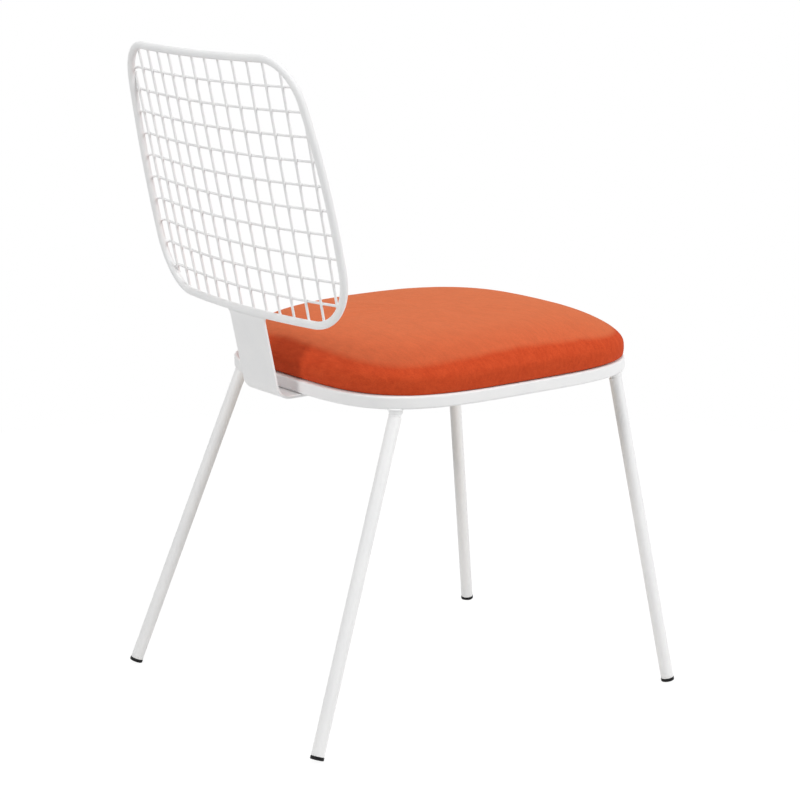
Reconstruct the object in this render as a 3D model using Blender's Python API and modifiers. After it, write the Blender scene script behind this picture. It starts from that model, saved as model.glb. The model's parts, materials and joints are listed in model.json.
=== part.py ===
"""Metal side chair with a welded wire back and an upholstered seat pad.

Lengths are metres and +Z is up. The chair stands on z = 0 and faces -Y, so the
sitter's left hand is on the +X side. Every piece is one named object.
"""

import math

import bmesh
import bpy
import numpy as np
from mathutils import Matrix, Vector

# Clearances between pieces
WELD_GAP = 0.0003
BOARD_CLEARANCE = 0.0004
PLUG_CLEARANCE = 0.0003
HOLE_CLEARANCE = 0.0003

# Seat ring
SEAT_WIDTH = 0.435
SEAT_DEPTH = 0.4266
SEAT_SQUARENESS = 3.62
SEAT_CENTRE_Y = -0.05314
SEAT_TILT_DEGREES = 1.64
RING_UNDERSIDE_HEIGHT = 0.400
RING_BAR_WIDTH = 0.020
RING_BAR_HEIGHT = 0.016
RING_EDGE_RADIUS = 0.003

# Legs, with the run of each leg measured outward from its top to the floor
LEG_DIAMETER = 0.016
LEG_WALL = 0.0015
REAR_LEG_INSET_X = 0.0402
REAR_LEG_INSET_Y = 0.0495
REAR_LEG_RUN_X = 0.0477
REAR_LEG_RUN_Y = 0.1462
FRONT_LEG_INSET_X = 0.0386
FRONT_LEG_INSET_Y = 0.0518
FRONT_LEG_RUN_X = 0.0438
FRONT_LEG_RUN_Y = 0.0609
BOSS_DIAMETER = 0.0195
BOSS_HEIGHT = 0.006
BOSS_CHAMFER = 0.0008

# Foot caps
CAP_DIAMETER = 0.0168
CAP_HEIGHT = 0.004
CAP_EDGE_RADIUS = 0.001
CAP_PLUG_LENGTH = 0.018
CAP_PLUG_CHAMFER = 0.001
CAP_FLOOR_FLAT = 0.0006

# Back rod, measured in its flat pattern before it is bent and reclined
BACK_SETBACK = 0.0751
BACK_DATUM_HEIGHT = 0.620
BACK_RECLINE_DEGREES = 11.87
BACK_BEND_RADIUS = 1.367
BACK_WIDTH = 0.4344
BACK_RISE = 0.1925
BACK_DROP = 0.1237
SIDE_BOW_RADIUS = 0.835
SIDE_BOW_DROP = 0.020
TOP_CORNER_RADIUS = 0.062
BOTTOM_CORNER_RADIUS = 0.070
ROD_DIAMETER = 0.0095
ROD_SETBACK = 0.0044

# Wire grid
UPRIGHT_COUNT = 14
UPRIGHT_DIAMETER = 0.0036
UPRIGHT_SIDE_MARGIN = 0.0248
UPRIGHT_FAN_PER_METRE = 0.13
CROSS_COUNT = 10
CROSS_DIAMETER = 0.0032
CROSS_TOP_MARGIN = 0.0337
CROSS_BOTTOM_MARGIN = 0.0251
CROSS_HOOK_RUN = 0.0052
CROSS_HOOK_BEND_RADIUS = 0.003

# Back bracket and its bolts
BRACKET_WIDTH = 0.072
BRACKET_THICKNESS = 0.003
BRACKET_BEND_RADIUS = 0.018
BRACKET_FLARE = 0.004
BRACKET_FLARE_HEIGHT = 0.008
BOLT_SPACING = 0.040
BOLT_DIAMETER = 0.006
BOLT_DEPTH = 0.010
BOLT_HEAD_DIAMETER = 0.011
BOLT_HEAD_HEIGHT = 0.0032

# Seat board, its tabs and its screws
BOARD_THICKNESS = 0.012
TAB_WIDTH = 0.030
TAB_REACH = 0.026
TAB_THICKNESS = 0.003
SCREW_DIAMETER = 0.004
SCREW_DEPTH = 0.008
SCREW_HEAD_DIAMETER = 0.008
SCREW_HEAD_HEIGHT = 0.0024

# Seat cushion
CUSHION_HEIGHT = 0.0595
CUSHION_FOOT_INSET = 0.005
CUSHION_SIDE_INSET = 0.0005
CUSHION_SHOULDER_INSET = 0.010
CUSHION_SHOULDER_DROP = 0.018
CUSHION_CROWN_INSET = 0.044
CUSHION_CROWN_DROP = 0.0065

# Smoothness of the round shapes
RING_POINTS = 64
RING_EDGE_STEPS = 2
CUSHION_POINTS = 32
CUSHION_LEVELS = 1
TURNED_STEPS = 20
SMALL_TURNED_STEPS = 16
ROD_SIDE_STEPS = 8
ROD_CORNER_STEPS = 7
ROD_RAIL_STEPS = 10
CROSS_SPAN_STEPS = 12
BEND_STEPS = 3
BRACKET_BEND_STEPS = 8
WIRE_ROUND_STEPS = 2
OUTLINE_FINE_STEPS = 64
RIM_POINTS = 12
ASKEW = (0.3, 0.5, 0.8)
MARCH_STEP = 0.0005
BISECT_STEPS = 30

# Sizes that follow from the ones above
SEAT_HALF_WIDTH = SEAT_WIDTH / 2
SEAT_HALF_DEPTH = SEAT_DEPTH / 2
LEG_RADIUS = LEG_DIAMETER / 2
ROD_RADIUS = ROD_DIAMETER / 2
UPRIGHT_RADIUS = UPRIGHT_DIAMETER / 2
CROSS_RADIUS = CROSS_DIAMETER / 2
RECLINE = math.radians(BACK_RECLINE_DEGREES)
SEAT_TILT = math.radians(SEAT_TILT_DEGREES)
BACK_DATUM_Y = SEAT_CENTRE_Y + SEAT_HALF_DEPTH + BACK_SETBACK
UPRIGHT_PITCH = (BACK_WIDTH - 2 * UPRIGHT_SIDE_MARGIN) / (UPRIGHT_COUNT - 1)
CROSS_PITCH = (BACK_RISE + BACK_DROP - CROSS_TOP_MARGIN - CROSS_BOTTOM_MARGIN) / (CROSS_COUNT - 1)
CROSS_FORWARD = UPRIGHT_RADIUS + WELD_GAP + CROSS_RADIUS
BOARD_UNDERSIDE = RING_BAR_HEIGHT - BOARD_THICKNESS
TAB_TOP = BOARD_UNDERSIDE - WELD_GAP
CUSHION_BASE = RING_BAR_HEIGHT + WELD_GAP
BRACKET_TAB_TOP = -WELD_GAP
BRACKET_TAB_UNDERSIDE = BRACKET_TAB_TOP - BRACKET_THICKNESS
BOSS_UNDERSIDE = -WELD_GAP - BOSS_HEIGHT
SEAT_FRAME = (
    Matrix.Translation((0.0, SEAT_CENTRE_Y, RING_UNDERSIDE_HEIGHT))
    @ Matrix.Rotation(-SEAT_TILT, 4, "X")
)


def clear_scene():
    """Remove what the opened scene holds."""
    for item in list(bpy.data.objects):
        bpy.data.objects.remove(item, do_unlink=True)
    for group in list(bpy.data.collections):
        bpy.data.collections.remove(group)


def new_collection(name):
    """Add a collection to the scene."""
    group = bpy.data.collections.new(name)
    bpy.context.scene.collection.children.link(group)
    return group


def new_material(name, colour, roughness, metallic):
    """Make a plain surface from a colour, a roughness and a metallic value."""
    surface = bpy.data.materials.new(name)
    surface.use_nodes = True
    shader = surface.node_tree.nodes["Principled BSDF"]
    shader.inputs["Base Color"].default_value = (*colour, 1.0)
    shader.inputs["Roughness"].default_value = roughness
    shader.inputs["Metallic"].default_value = metallic
    surface.diffuse_color = (*colour, 1.0)
    return surface


clear_scene()
CHAIR = new_collection("wire_back_side_chair")
CUTTERS = new_collection("cutters")
POWDER_COAT = new_material("white_powder_coat", (0.86, 0.86, 0.86), 0.42, 0.0)
FABRIC = new_material("terracotta_fabric", (0.71, 0.13, 0.045), 0.92, 0.0)
BLACK_PLASTIC = new_material("black_plastic", (0.012, 0.012, 0.013), 0.45, 0.0)
PLYWOOD = new_material("birch_plywood", (0.62, 0.44, 0.27), 0.7, 0.0)
ZINC = new_material("zinc_plated_steel", (0.62, 0.63, 0.65), 0.32, 1.0)


def add_object(name, data, surface, matrix=None, group=None, parent=None):
    """Put mesh or curve data into the scene as one named object."""
    item = bpy.data.objects.new(name, data)
    (group or CHAIR).objects.link(item)
    if surface is not None:
        data.materials.append(surface)
    if parent is not None:
        item.parent = parent
    if matrix is not None:
        item.matrix_local = matrix
    return item


def mesh_from(name, bm, smooth):
    """Turn a bmesh into mesh data with its faces turned outward."""
    bmesh.ops.recalc_face_normals(bm, faces=bm.faces[:])
    data = bpy.data.meshes.new(name)
    bm.to_mesh(data)
    bm.free()
    for face in data.polygons:
        face.use_smooth = smooth
    return data


def add_cutter(name, bm, matrix=None, parent=None):
    """Add a hidden solid that other pieces are cut with."""
    item = add_object(name, mesh_from(name, bm, False), None, matrix, CUTTERS, parent)
    item.hide_render = True
    item.display_type = "WIRE"
    return item


def cut(item, cutter):
    """Cut a piece with a hidden solid."""
    step = item.modifiers.new(cutter.name, "BOOLEAN")
    step.operation = "DIFFERENCE"
    step.solver = "EXACT"
    step.object = cutter


def cylinder(radius, low, high, sides):
    """Make an upright cylinder between two heights."""
    bm = bmesh.new()
    place = Matrix.Translation((0.0, 0.0, (low + high) / 2))
    bmesh.ops.create_cone(
        bm, cap_ends=True, segments=sides, radius1=radius, radius2=radius, depth=high - low, matrix=place
    )
    return bm


def block(size_x, size_y, low, high):
    """Make an upright block between two heights."""
    bm = bmesh.new()
    place = Matrix.Translation((0.0, 0.0, (low + high) / 2)) @ Matrix.Diagonal((size_x, size_y, high - low, 1.0))
    bmesh.ops.create_cube(bm, size=1.0, matrix=place)
    return bm


def turned(name, profile, surface, matrix, steps, closed=False, parent=None):
    """Turn a profile of radius and height pairs about its own axis."""
    bm = bmesh.new()
    corners = [bm.verts.new((radius, 0.0, height)) for radius, height in profile]
    for first, second in zip(corners, corners[1:]):
        bm.edges.new((first, second))
    if closed:
        bm.edges.new((corners[-1], corners[0]))
    data = bpy.data.meshes.new(name)
    bm.to_mesh(data)
    bm.free()
    item = add_object(name, data, surface, matrix, parent=parent)
    spin = item.modifiers.new("turn", "SCREW")
    spin.axis = "Z"
    spin.angle = 2 * math.pi
    spin.steps = steps
    spin.render_steps = steps
    spin.use_merge_vertices = True
    spin.merge_threshold = 0.00005
    spin.use_smooth_shade = True
    return item


def wire(name, points, diameter, cyclic=False):
    """Bend a round wire through points."""
    data = bpy.data.curves.new(name, "CURVE")
    data.dimensions = "3D"
    data.bevel_depth = diameter / 2
    data.bevel_resolution = WIRE_ROUND_STEPS
    data.use_fill_caps = not cyclic
    line = data.splines.new("POLY")
    line.points.add(len(points) - 1)
    for knot, place in zip(line.points, points):
        knot.co = (*place, 1.0)
    line.use_cyclic_u = cyclic
    line.use_smooth = True
    return add_object(name, data, POWDER_COAT)


def seat_outline(inset, count):
    """Give evenly spaced points on the seat outline, drawn in by an inset."""
    angles = np.linspace(0.0, 2 * math.pi, count * OUTLINE_FINE_STEPS + 1)
    power = 2 / SEAT_SQUARENESS
    across = np.sign(np.cos(angles)) * np.abs(np.cos(angles)) ** power
    along = np.sign(np.sin(angles)) * np.abs(np.sin(angles)) ** power
    dense = np.stack([SEAT_HALF_WIDTH * across, SEAT_HALF_DEPTH * along], axis=1)
    lengths = np.concatenate([[0.0], np.cumsum(np.linalg.norm(np.diff(dense, axis=0), axis=1))])
    stations = np.linspace(0.0, lengths[-1], count, endpoint=False)
    spot = np.stack([np.interp(stations, lengths, dense[:, axis]) for axis in (0, 1)], axis=1)
    halves = np.array([SEAT_HALF_WIDTH, SEAT_HALF_DEPTH])
    slope = np.sign(spot) * np.abs(spot / halves) ** (SEAT_SQUARENESS - 1) / halves
    slope /= np.linalg.norm(slope, axis=1, keepdims=True)
    return spot - inset * slope


def bridge(bm, first, second):
    """Join two closed rows of vertices with quads."""
    count = len(first)
    for index in range(count):
        following = (index + 1) % count
        bm.faces.new((first[index], first[following], second[following], second[index]))


def add_row(bm, outline, height):
    """Add one closed row of vertices at a height."""
    return [bm.verts.new((x, y, height)) for x, y in outline]


def back_point(across, rise, forward):
    """Place a point of the back's flat pattern on the bent and reclined back."""
    turn = across / BACK_BEND_RADIUS
    reach = BACK_BEND_RADIUS - forward
    depth = BACK_BEND_RADIUS - reach * math.cos(turn)
    return Vector((
        reach * math.sin(turn),
        BACK_DATUM_Y + rise * math.sin(RECLINE) - depth * math.cos(RECLINE),
        BACK_DATUM_HEIGHT + rise * math.cos(RECLINE) + depth * math.sin(RECLINE),
    ))


def corner_centre(level, radius, side):
    """Find the centre of a corner bend between a straight rail and the bowed side."""
    height = level - side * radius
    bow_centre = BACK_WIDTH / 2 - SIDE_BOW_RADIUS
    run = math.sqrt((SIDE_BOW_RADIUS - radius) ** 2 - (height + SIDE_BOW_DROP) ** 2)
    return bow_centre + run, height


def right_half_outline():
    """Draw half of the back rod's flat pattern from bottom centre up to top centre."""
    top = corner_centre(BACK_RISE, TOP_CORNER_RADIUS, 1)
    low = corner_centre(-BACK_DROP, BOTTOM_CORNER_RADIUS, -1)
    bow_centre = BACK_WIDTH / 2 - SIDE_BOW_RADIUS
    low_angle = math.atan2(low[1] + SIDE_BOW_DROP, low[0] - bow_centre)
    top_angle = math.atan2(top[1] + SIDE_BOW_DROP, top[0] - bow_centre)
    points = [(low[0] * step / ROD_RAIL_STEPS, -BACK_DROP) for step in range(ROD_RAIL_STEPS)]
    for step in range(ROD_CORNER_STEPS):
        angle = -math.pi / 2 + (low_angle + math.pi / 2) * step / ROD_CORNER_STEPS
        points.append((
            low[0] + BOTTOM_CORNER_RADIUS * math.cos(angle),
            low[1] + BOTTOM_CORNER_RADIUS * math.sin(angle),
        ))
    for step in range(ROD_SIDE_STEPS):
        angle = low_angle + (top_angle - low_angle) * step / ROD_SIDE_STEPS
        points.append((
            bow_centre + SIDE_BOW_RADIUS * math.cos(angle),
            SIDE_BOW_RADIUS * math.sin(angle) - SIDE_BOW_DROP,
        ))
    for step in range(ROD_CORNER_STEPS):
        angle = top_angle + (math.pi / 2 - top_angle) * step / ROD_CORNER_STEPS
        points.append((
            top[0] + TOP_CORNER_RADIUS * math.cos(angle),
            top[1] + TOP_CORNER_RADIUS * math.sin(angle),
        ))
    points.extend((top[0] * (1 - step / ROD_RAIL_STEPS), BACK_RISE) for step in range(ROD_RAIL_STEPS + 1))
    return points


HALF_OUTLINE = right_half_outline()
ROD_OUTLINE = HALF_OUTLINE + [(-across, rise) for across, rise in HALF_OUTLINE[-2:0:-1]]
ROD_STARTS = np.array([(across, rise, -ROD_SETBACK) for across, rise in ROD_OUTLINE])
ROD_RUNS = np.roll(ROD_STARTS, -1, axis=0) - ROD_STARTS


def rod_distance(points):
    """Give the shortest distance from a set of points to the axis of the back rod."""
    offset = points[:, None, :] - ROD_STARTS[None, :, :]
    share = np.sum(offset * ROD_RUNS, axis=2) / np.sum(ROD_RUNS ** 2, axis=1)
    gap = offset - np.clip(share, 0.0, 1.0)[:, :, None] * ROD_RUNS
    return float(np.min(np.linalg.norm(gap, axis=2)))


def wire_end(start, heading, radius):
    """Run a wire along a heading until its end stands just clear of the back rod."""
    start = np.array(start)
    heading = np.array(heading) / np.linalg.norm(heading)
    first = np.cross(heading, ASKEW)
    first /= np.linalg.norm(first)
    second = np.cross(heading, first)
    turns = np.linspace(0.0, 2 * math.pi, RIM_POINTS, endpoint=False)
    rim = radius * (np.outer(np.cos(turns), first) + np.outer(np.sin(turns), second))
    rim = np.vstack([rim, np.zeros(3)])

    def clear(length):
        return rod_distance(start + length * heading + rim) > ROD_RADIUS + WELD_GAP

    length = 0.0
    while clear(length + MARCH_STEP) and length < BACK_WIDTH:
        length += MARCH_STEP
    low, high = length, length + MARCH_STEP
    for _ in range(BISECT_STEPS):
        middle = (low + high) / 2
        if clear(middle):
            low = middle
        else:
            high = middle
    return start + low * heading


def rod_half_width(rise):
    """Give the half width of the back rod's flat pattern at a height."""
    heights = [point[1] for point in HALF_OUTLINE]
    widths = [point[0] for point in HALF_OUTLINE]
    return float(np.interp(rise, heights, widths))


def upright_position(index, rise):
    """Give where an upright wire stands across the back at a height."""
    steps = (UPRIGHT_COUNT - 1) / 2 - index
    return steps * UPRIGHT_PITCH * (1 + UPRIGHT_FAN_PER_METRE * rise)


def build_back_frame():
    """Bend the closed back rod."""
    points = [back_point(across, rise, -ROD_SETBACK) for across, rise in ROD_OUTLINE]
    wire("back_frame", points, ROD_DIAMETER, cyclic=True)


def upright_ends(index):
    """Give the lower and the upper end of an upright wire in the flat pattern."""
    foot = upright_position(index, 0.0)
    lean = upright_position(index, 1.0) - foot
    low = wire_end((foot, 0.0, 0.0), (-lean, -1.0, 0.0), UPRIGHT_RADIUS)
    top = wire_end((foot, 0.0, 0.0), (lean, 1.0, 0.0), UPRIGHT_RADIUS)
    return low, top


def build_uprights():
    """Stand the upright wires between the rails, fanned a little toward the top."""
    for index in range(UPRIGHT_COUNT):
        low, top = upright_ends(index)
        wire(f"upright_wire_{index + 1:02d}", [back_point(*low), back_point(*top)], UPRIGHT_DIAMETER)


def cross_half(rise, outer_span):
    """Lay out one half of a cross wire, from the centre to its hooked end."""
    side = rod_half_width(rise)
    corner = side - CROSS_HOOK_RUN
    if outer_span[0] - CROSS_RADIUS < rise < outer_span[1] + CROSS_RADIUS:
        corner = min(side, max(corner, upright_position(0, rise) + UPRIGHT_RADIUS + CROSS_RADIUS / 2))
    bend = math.atan2(CROSS_FORWARD + ROD_SETBACK, side - corner)
    tangent = CROSS_HOOK_BEND_RADIUS * math.tan(bend / 2)
    begin = corner - tangent
    points = [(begin * step / CROSS_SPAN_STEPS * 2, rise, CROSS_FORWARD) for step in range(CROSS_SPAN_STEPS // 2)]
    for step in range(BEND_STEPS + 1):
        angle = bend * step / BEND_STEPS
        points.append((
            begin + CROSS_HOOK_BEND_RADIUS * math.sin(angle),
            rise,
            CROSS_FORWARD - CROSS_HOOK_BEND_RADIUS * (1 - math.cos(angle)),
        ))
    points.append(tuple(wire_end(points[-1], (math.cos(bend), 0.0, -math.sin(bend)), CROSS_RADIUS)))
    return points


def build_cross_wires():
    """Lay the cross wires in front of the uprights with their ends bent back to the rod."""
    low, top = upright_ends(0)
    for index in range(CROSS_COUNT):
        half = cross_half(BACK_RISE - CROSS_TOP_MARGIN - index * CROSS_PITCH, (low[1], top[1]))
        flat = [(-across, rise, forward) for across, rise, forward in half[:0:-1]] + half
        wire(f"cross_wire_{index + 1:02d}", [back_point(*point) for point in flat], CROSS_DIAMETER)


def build_seat_ring(seat):
    """Sweep the flat-sided bar around the seat outline."""
    straight_in = RING_BAR_WIDTH - RING_EDGE_RADIUS
    straight_up = RING_BAR_HEIGHT - RING_EDGE_RADIUS
    corners = (
        (RING_EDGE_RADIUS, RING_EDGE_RADIUS, 180),
        (straight_in, RING_EDGE_RADIUS, 270),
        (straight_in, straight_up, 0),
        (RING_EDGE_RADIUS, straight_up, 90),
    )
    bm = bmesh.new()
    rows = []
    for inset, height, start in corners:
        for step in range(RING_EDGE_STEPS + 1):
            angle = math.radians(start + 90 * step / RING_EDGE_STEPS)
            outline = seat_outline(inset + RING_EDGE_RADIUS * math.cos(angle), RING_POINTS)
            rows.append(add_row(bm, outline, height + RING_EDGE_RADIUS * math.sin(angle)))
    for first, second in zip(rows, rows[1:] + rows[:1]):
        bridge(bm, first, second)
    return add_object("seat_ring", mesh_from("seat_ring", bm, True), POWDER_COAT, Matrix(), parent=seat)


def build_seat_board(seat):
    """Cut the board to the opening of the ring."""
    outline = seat_outline(RING_BAR_WIDTH + BOARD_CLEARANCE, RING_POINTS)
    bm = bmesh.new()
    low = add_row(bm, outline, BOARD_UNDERSIDE)
    high = add_row(bm, outline, RING_BAR_HEIGHT)
    bridge(bm, low, high)
    bm.faces.new(low)
    bm.faces.new(high)
    return add_object("seat_board", mesh_from("seat_board", bm, False), PLYWOOD, Matrix(), parent=seat)


def build_cushion(seat):
    """Raise the pad from a coarse cage: drawn in below, full at the side, crowned on top."""
    shoulder = CUSHION_HEIGHT - CUSHION_SHOULDER_DROP
    crown = CUSHION_HEIGHT - CUSHION_CROWN_DROP
    rows_wanted = (
        (SEAT_HALF_DEPTH / 2, 0.0),
        (CUSHION_FOOT_INSET + CUSHION_SHOULDER_INSET, 0.0),
        (CUSHION_FOOT_INSET, 0.0),
        (CUSHION_SIDE_INSET, shoulder / 3),
        (CUSHION_SIDE_INSET, shoulder * 2 / 3),
        (CUSHION_SHOULDER_INSET, shoulder),
        (CUSHION_CROWN_INSET, crown),
        (SEAT_HALF_DEPTH / 2, CUSHION_HEIGHT),
    )
    bm = bmesh.new()
    rows = []
    for inset, height in rows_wanted:
        shrink = 1 - inset / SEAT_HALF_DEPTH
        outline = seat_outline(0.0, CUSHION_POINTS) * shrink
        rows.append(add_row(bm, outline, CUSHION_BASE + height))
    for first, second in zip(rows, rows[1:]):
        bridge(bm, first, second)
    for row, height in ((rows[0], 0.0), (rows[-1], CUSHION_HEIGHT)):
        pole = bm.verts.new((0.0, 0.0, CUSHION_BASE + height))
        for index in range(CUSHION_POINTS):
            bm.faces.new((row[index], row[(index + 1) % CUSHION_POINTS], pole))
    item = add_object("seat_cushion", mesh_from("seat_cushion", bm, True), FABRIC, Matrix(), parent=seat)
    smooth = item.modifiers.new("soften", "SUBSURF")
    smooth.levels = CUSHION_LEVELS
    smooth.render_levels = CUSHION_LEVELS


def build_seat_fixings(seat, board):
    """Weld four tabs inside the ring and drive a screw up through each into the board."""
    tab_underside = TAB_TOP - TAB_THICKNESS
    head_top = tab_underside - WELD_GAP
    head_low = head_top - SCREW_HEAD_HEIGHT
    profile = (
        (0.0, BOARD_UNDERSIDE + SCREW_DEPTH),
        (SCREW_DIAMETER / 2, BOARD_UNDERSIDE + SCREW_DEPTH),
        (SCREW_DIAMETER / 2, head_top),
        (SCREW_HEAD_DIAMETER / 2, head_top),
        (SCREW_HEAD_DIAMETER / 2, head_top - SCREW_HEAD_HEIGHT / 2),
        (SCREW_HEAD_DIAMETER / 3, head_low),
        (0.0, head_low),
    )
    inner = RING_BAR_WIDTH + WELD_GAP + TAB_REACH / 2
    places = {
        "front": (0.0, inner - SEAT_HALF_DEPTH, 0.0),
        "rear": (0.0, SEAT_HALF_DEPTH - inner, math.pi),
        "left": (SEAT_HALF_WIDTH - inner, 0.0, math.pi / 2),
        "right": (inner - SEAT_HALF_WIDTH, 0.0, -math.pi / 2),
    }
    for name, (across, along, turn) in places.items():
        place = Matrix.Translation((across, along, 0.0)) @ Matrix.Rotation(turn, 4, "Z")
        plate = mesh_from("seat_tab", block(TAB_WIDTH, TAB_REACH, tab_underside, TAB_TOP), False)
        tab = add_object(f"seat_tab_{name}", plate, POWDER_COAT, place, parent=seat)
        hole = cylinder(
            SCREW_DIAMETER / 2 + HOLE_CLEARANCE,
            head_low,
            BOARD_UNDERSIDE + SCREW_DEPTH + HOLE_CLEARANCE,
            SMALL_TURNED_STEPS,
        )
        cutter = add_cutter(f"screw_hole_{name}", hole, place, seat)
        cut(tab, cutter)
        cut(board, cutter)
        turned(f"seat_screw_{name}", profile, ZINC, place, SMALL_TURNED_STEPS, parent=seat)


def bracket_path():
    """Run the bracket's middle line down from the back rod and forward under the ring."""
    middle = BRACKET_THICKNESS / 2
    top = back_point(0.0, -BACK_DROP - ROD_RADIUS - WELD_GAP, middle - ROD_SETBACK)
    down = Vector((0.0, -math.sin(RECLINE), -math.cos(RECLINE)))
    tab_end = SEAT_FRAME @ Vector((0.0, SEAT_HALF_DEPTH - RING_BAR_WIDTH, BRACKET_TAB_TOP - middle))
    forward = SEAT_FRAME.to_3x3() @ Vector((0.0, -1.0, 0.0))
    across = forward.y * down.z - forward.z * down.y
    gap = tab_end - top
    drop = (gap.z * forward.y - gap.y * forward.z) / across
    corner = top + drop * down
    turn = down.angle(forward)
    tangent = BRACKET_BEND_RADIUS * math.tan(turn / 2)
    begin = corner + (-tangent) * down
    inward = (forward - forward.dot(down) * down).normalized()
    points = [(top, BRACKET_FLARE)]
    for step in (1, 2, 3):
        share = step / 3
        points.append((top + share * BRACKET_FLARE_HEIGHT * down, BRACKET_FLARE * (1 - share) ** 2))
    for step in range(BRACKET_BEND_STEPS + 1):
        angle = turn * step / BRACKET_BEND_STEPS
        turned_in = BRACKET_BEND_RADIUS * (1 - math.cos(angle)) * inward
        points.append((begin + BRACKET_BEND_RADIUS * math.sin(angle) * down + turned_in, 0.0))
    points.append((tab_end, 0.0))
    return points


def build_bracket(seat, ring):
    """Fold the back bracket and bolt it up into the seat ring."""
    bm = bmesh.new()
    rows = []
    for point, flare in bracket_path():
        half = BRACKET_WIDTH / 2 + flare
        rows.append([bm.verts.new((sign * half, point.y, point.z)) for sign in (-1, 1)])
    for (left, right), (next_left, next_right) in zip(rows, rows[1:]):
        bm.faces.new((left, right, next_right, next_left))
    plate = add_object("back_bracket", mesh_from("back_bracket", bm, False), POWDER_COAT)
    thick = plate.modifiers.new("thickness", "SOLIDIFY")
    thick.thickness = BRACKET_THICKNESS
    thick.offset = 0.0
    thick.use_even_offset = True
    head_top = BRACKET_TAB_UNDERSIDE - WELD_GAP
    head_low = head_top - BOLT_HEAD_HEIGHT
    profile = (
        (0.0, BOLT_DEPTH),
        (BOLT_DIAMETER / 2, BOLT_DEPTH),
        (BOLT_DIAMETER / 2, head_top),
        (BOLT_HEAD_DIAMETER / 2, head_top),
        (BOLT_HEAD_DIAMETER / 2, head_top - BOLT_HEAD_HEIGHT / 3),
        (BOLT_HEAD_DIAMETER / 3, head_low),
        (0.0, head_low),
    )
    along = SEAT_HALF_DEPTH - RING_BAR_WIDTH / 2
    for name, sign in (("left", 1), ("right", -1)):
        place = Matrix.Translation((sign * BOLT_SPACING / 2, along, 0.0))
        hole = cylinder(
            BOLT_DIAMETER / 2 + HOLE_CLEARANCE, head_low, BOLT_DEPTH + HOLE_CLEARANCE, SMALL_TURNED_STEPS
        )
        cutter = add_cutter(f"bolt_hole_{name}", hole, place, seat)
        cut(plate, cutter)
        cut(ring, cutter)
        turned(f"bracket_bolt_{name}", profile, ZINC, place, SMALL_TURNED_STEPS, parent=seat)


def build_leg(seat, name, top, foot, floor, ceiling):
    """Stand one leg tube between its boss under the ring and its foot cap."""
    axis = top - foot
    length = axis.length
    axis.normalize()
    cap_radius = CAP_DIAMETER / 2
    rise = (cap_radius - CAP_EDGE_RADIUS) * math.sqrt(1 - axis.z ** 2) + CAP_EDGE_RADIUS * (1 - axis.z)
    origin = foot + axis * ((rise - CAP_FLOOR_FLAT) / axis.z)
    place = Matrix.Translation(origin) @ axis.to_track_quat("Z", "Y").to_matrix().to_4x4()
    bore = LEG_RADIUS - LEG_WALL
    tube_low = CAP_HEIGHT + WELD_GAP
    tube_profile = ((LEG_RADIUS, length), (LEG_RADIUS, tube_low), (bore, tube_low), (bore, length))
    tube = turned(f"leg_{name}", tube_profile, POWDER_COAT, place, TURNED_STEPS, closed=True)
    cut(tube, ceiling)
    plug = bore - PLUG_CLEARANCE
    plug_top = CAP_HEIGHT + CAP_PLUG_LENGTH
    cap_profile = [
        (0.0, plug_top),
        (plug - CAP_PLUG_CHAMFER, plug_top),
        (plug, plug_top - CAP_PLUG_CHAMFER),
        (plug, CAP_HEIGHT),
        (cap_radius, CAP_HEIGHT),
    ]
    for step in range(BEND_STEPS + 1):
        angle = math.pi / 2 * step / BEND_STEPS
        cap_profile.append((
            cap_radius - CAP_EDGE_RADIUS * (1 - math.cos(angle)),
            CAP_EDGE_RADIUS * (1 - math.sin(angle)),
        ))
    cap_profile.append((0.0, 0.0))
    cap = turned(f"foot_cap_{name}", cap_profile, BLACK_PLASTIC, place, TURNED_STEPS)
    cut(cap, floor)
    local_top = SEAT_FRAME.inverted() @ top
    local_axis = SEAT_FRAME.to_3x3().inverted() @ axis
    centre = local_top + local_axis * ((BOSS_UNDERSIDE - local_top.z) / local_axis.z)
    boss_radius = BOSS_DIAMETER / 2
    boss_profile = (
        (0.0, -WELD_GAP),
        (boss_radius, -WELD_GAP),
        (boss_radius, BOSS_UNDERSIDE + BOSS_CHAMFER),
        (boss_radius - BOSS_CHAMFER, BOSS_UNDERSIDE),
        (0.0, BOSS_UNDERSIDE),
    )
    boss_place = Matrix.Translation((centre.x, centre.y, 0.0))
    turned(f"leg_boss_{name}", boss_profile, POWDER_COAT, boss_place, TURNED_STEPS, parent=seat)


def build_legs(seat):
    """Stand the four splayed legs."""
    span = SEAT_WIDTH + SEAT_DEPTH
    floor = add_cutter("floor_cutter", block(2 * span, 2 * span, -span, 0.0))
    ceiling_low = BOSS_UNDERSIDE - WELD_GAP
    ceiling = add_cutter("leg_top_cutter", block(span, span, ceiling_low, span / 2), Matrix(), seat)
    rear_y = SEAT_CENTRE_Y + SEAT_HALF_DEPTH - REAR_LEG_INSET_Y
    front_y = SEAT_CENTRE_Y - SEAT_HALF_DEPTH + FRONT_LEG_INSET_Y
    for name, sign in (("left", 1), ("right", -1)):
        rear_x = SEAT_HALF_WIDTH - REAR_LEG_INSET_X
        top = Vector((sign * rear_x, rear_y, RING_UNDERSIDE_HEIGHT))
        foot = Vector((sign * (rear_x + REAR_LEG_RUN_X), rear_y + REAR_LEG_RUN_Y, 0.0))
        build_leg(seat, f"rear_{name}", top, foot, floor, ceiling)
        front_x = SEAT_HALF_WIDTH - FRONT_LEG_INSET_X
        top = Vector((sign * front_x, front_y, RING_UNDERSIDE_HEIGHT))
        foot = Vector((sign * (front_x + FRONT_LEG_RUN_X), front_y - FRONT_LEG_RUN_Y, 0.0))
        build_leg(seat, f"front_{name}", top, foot, floor, ceiling)


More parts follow.
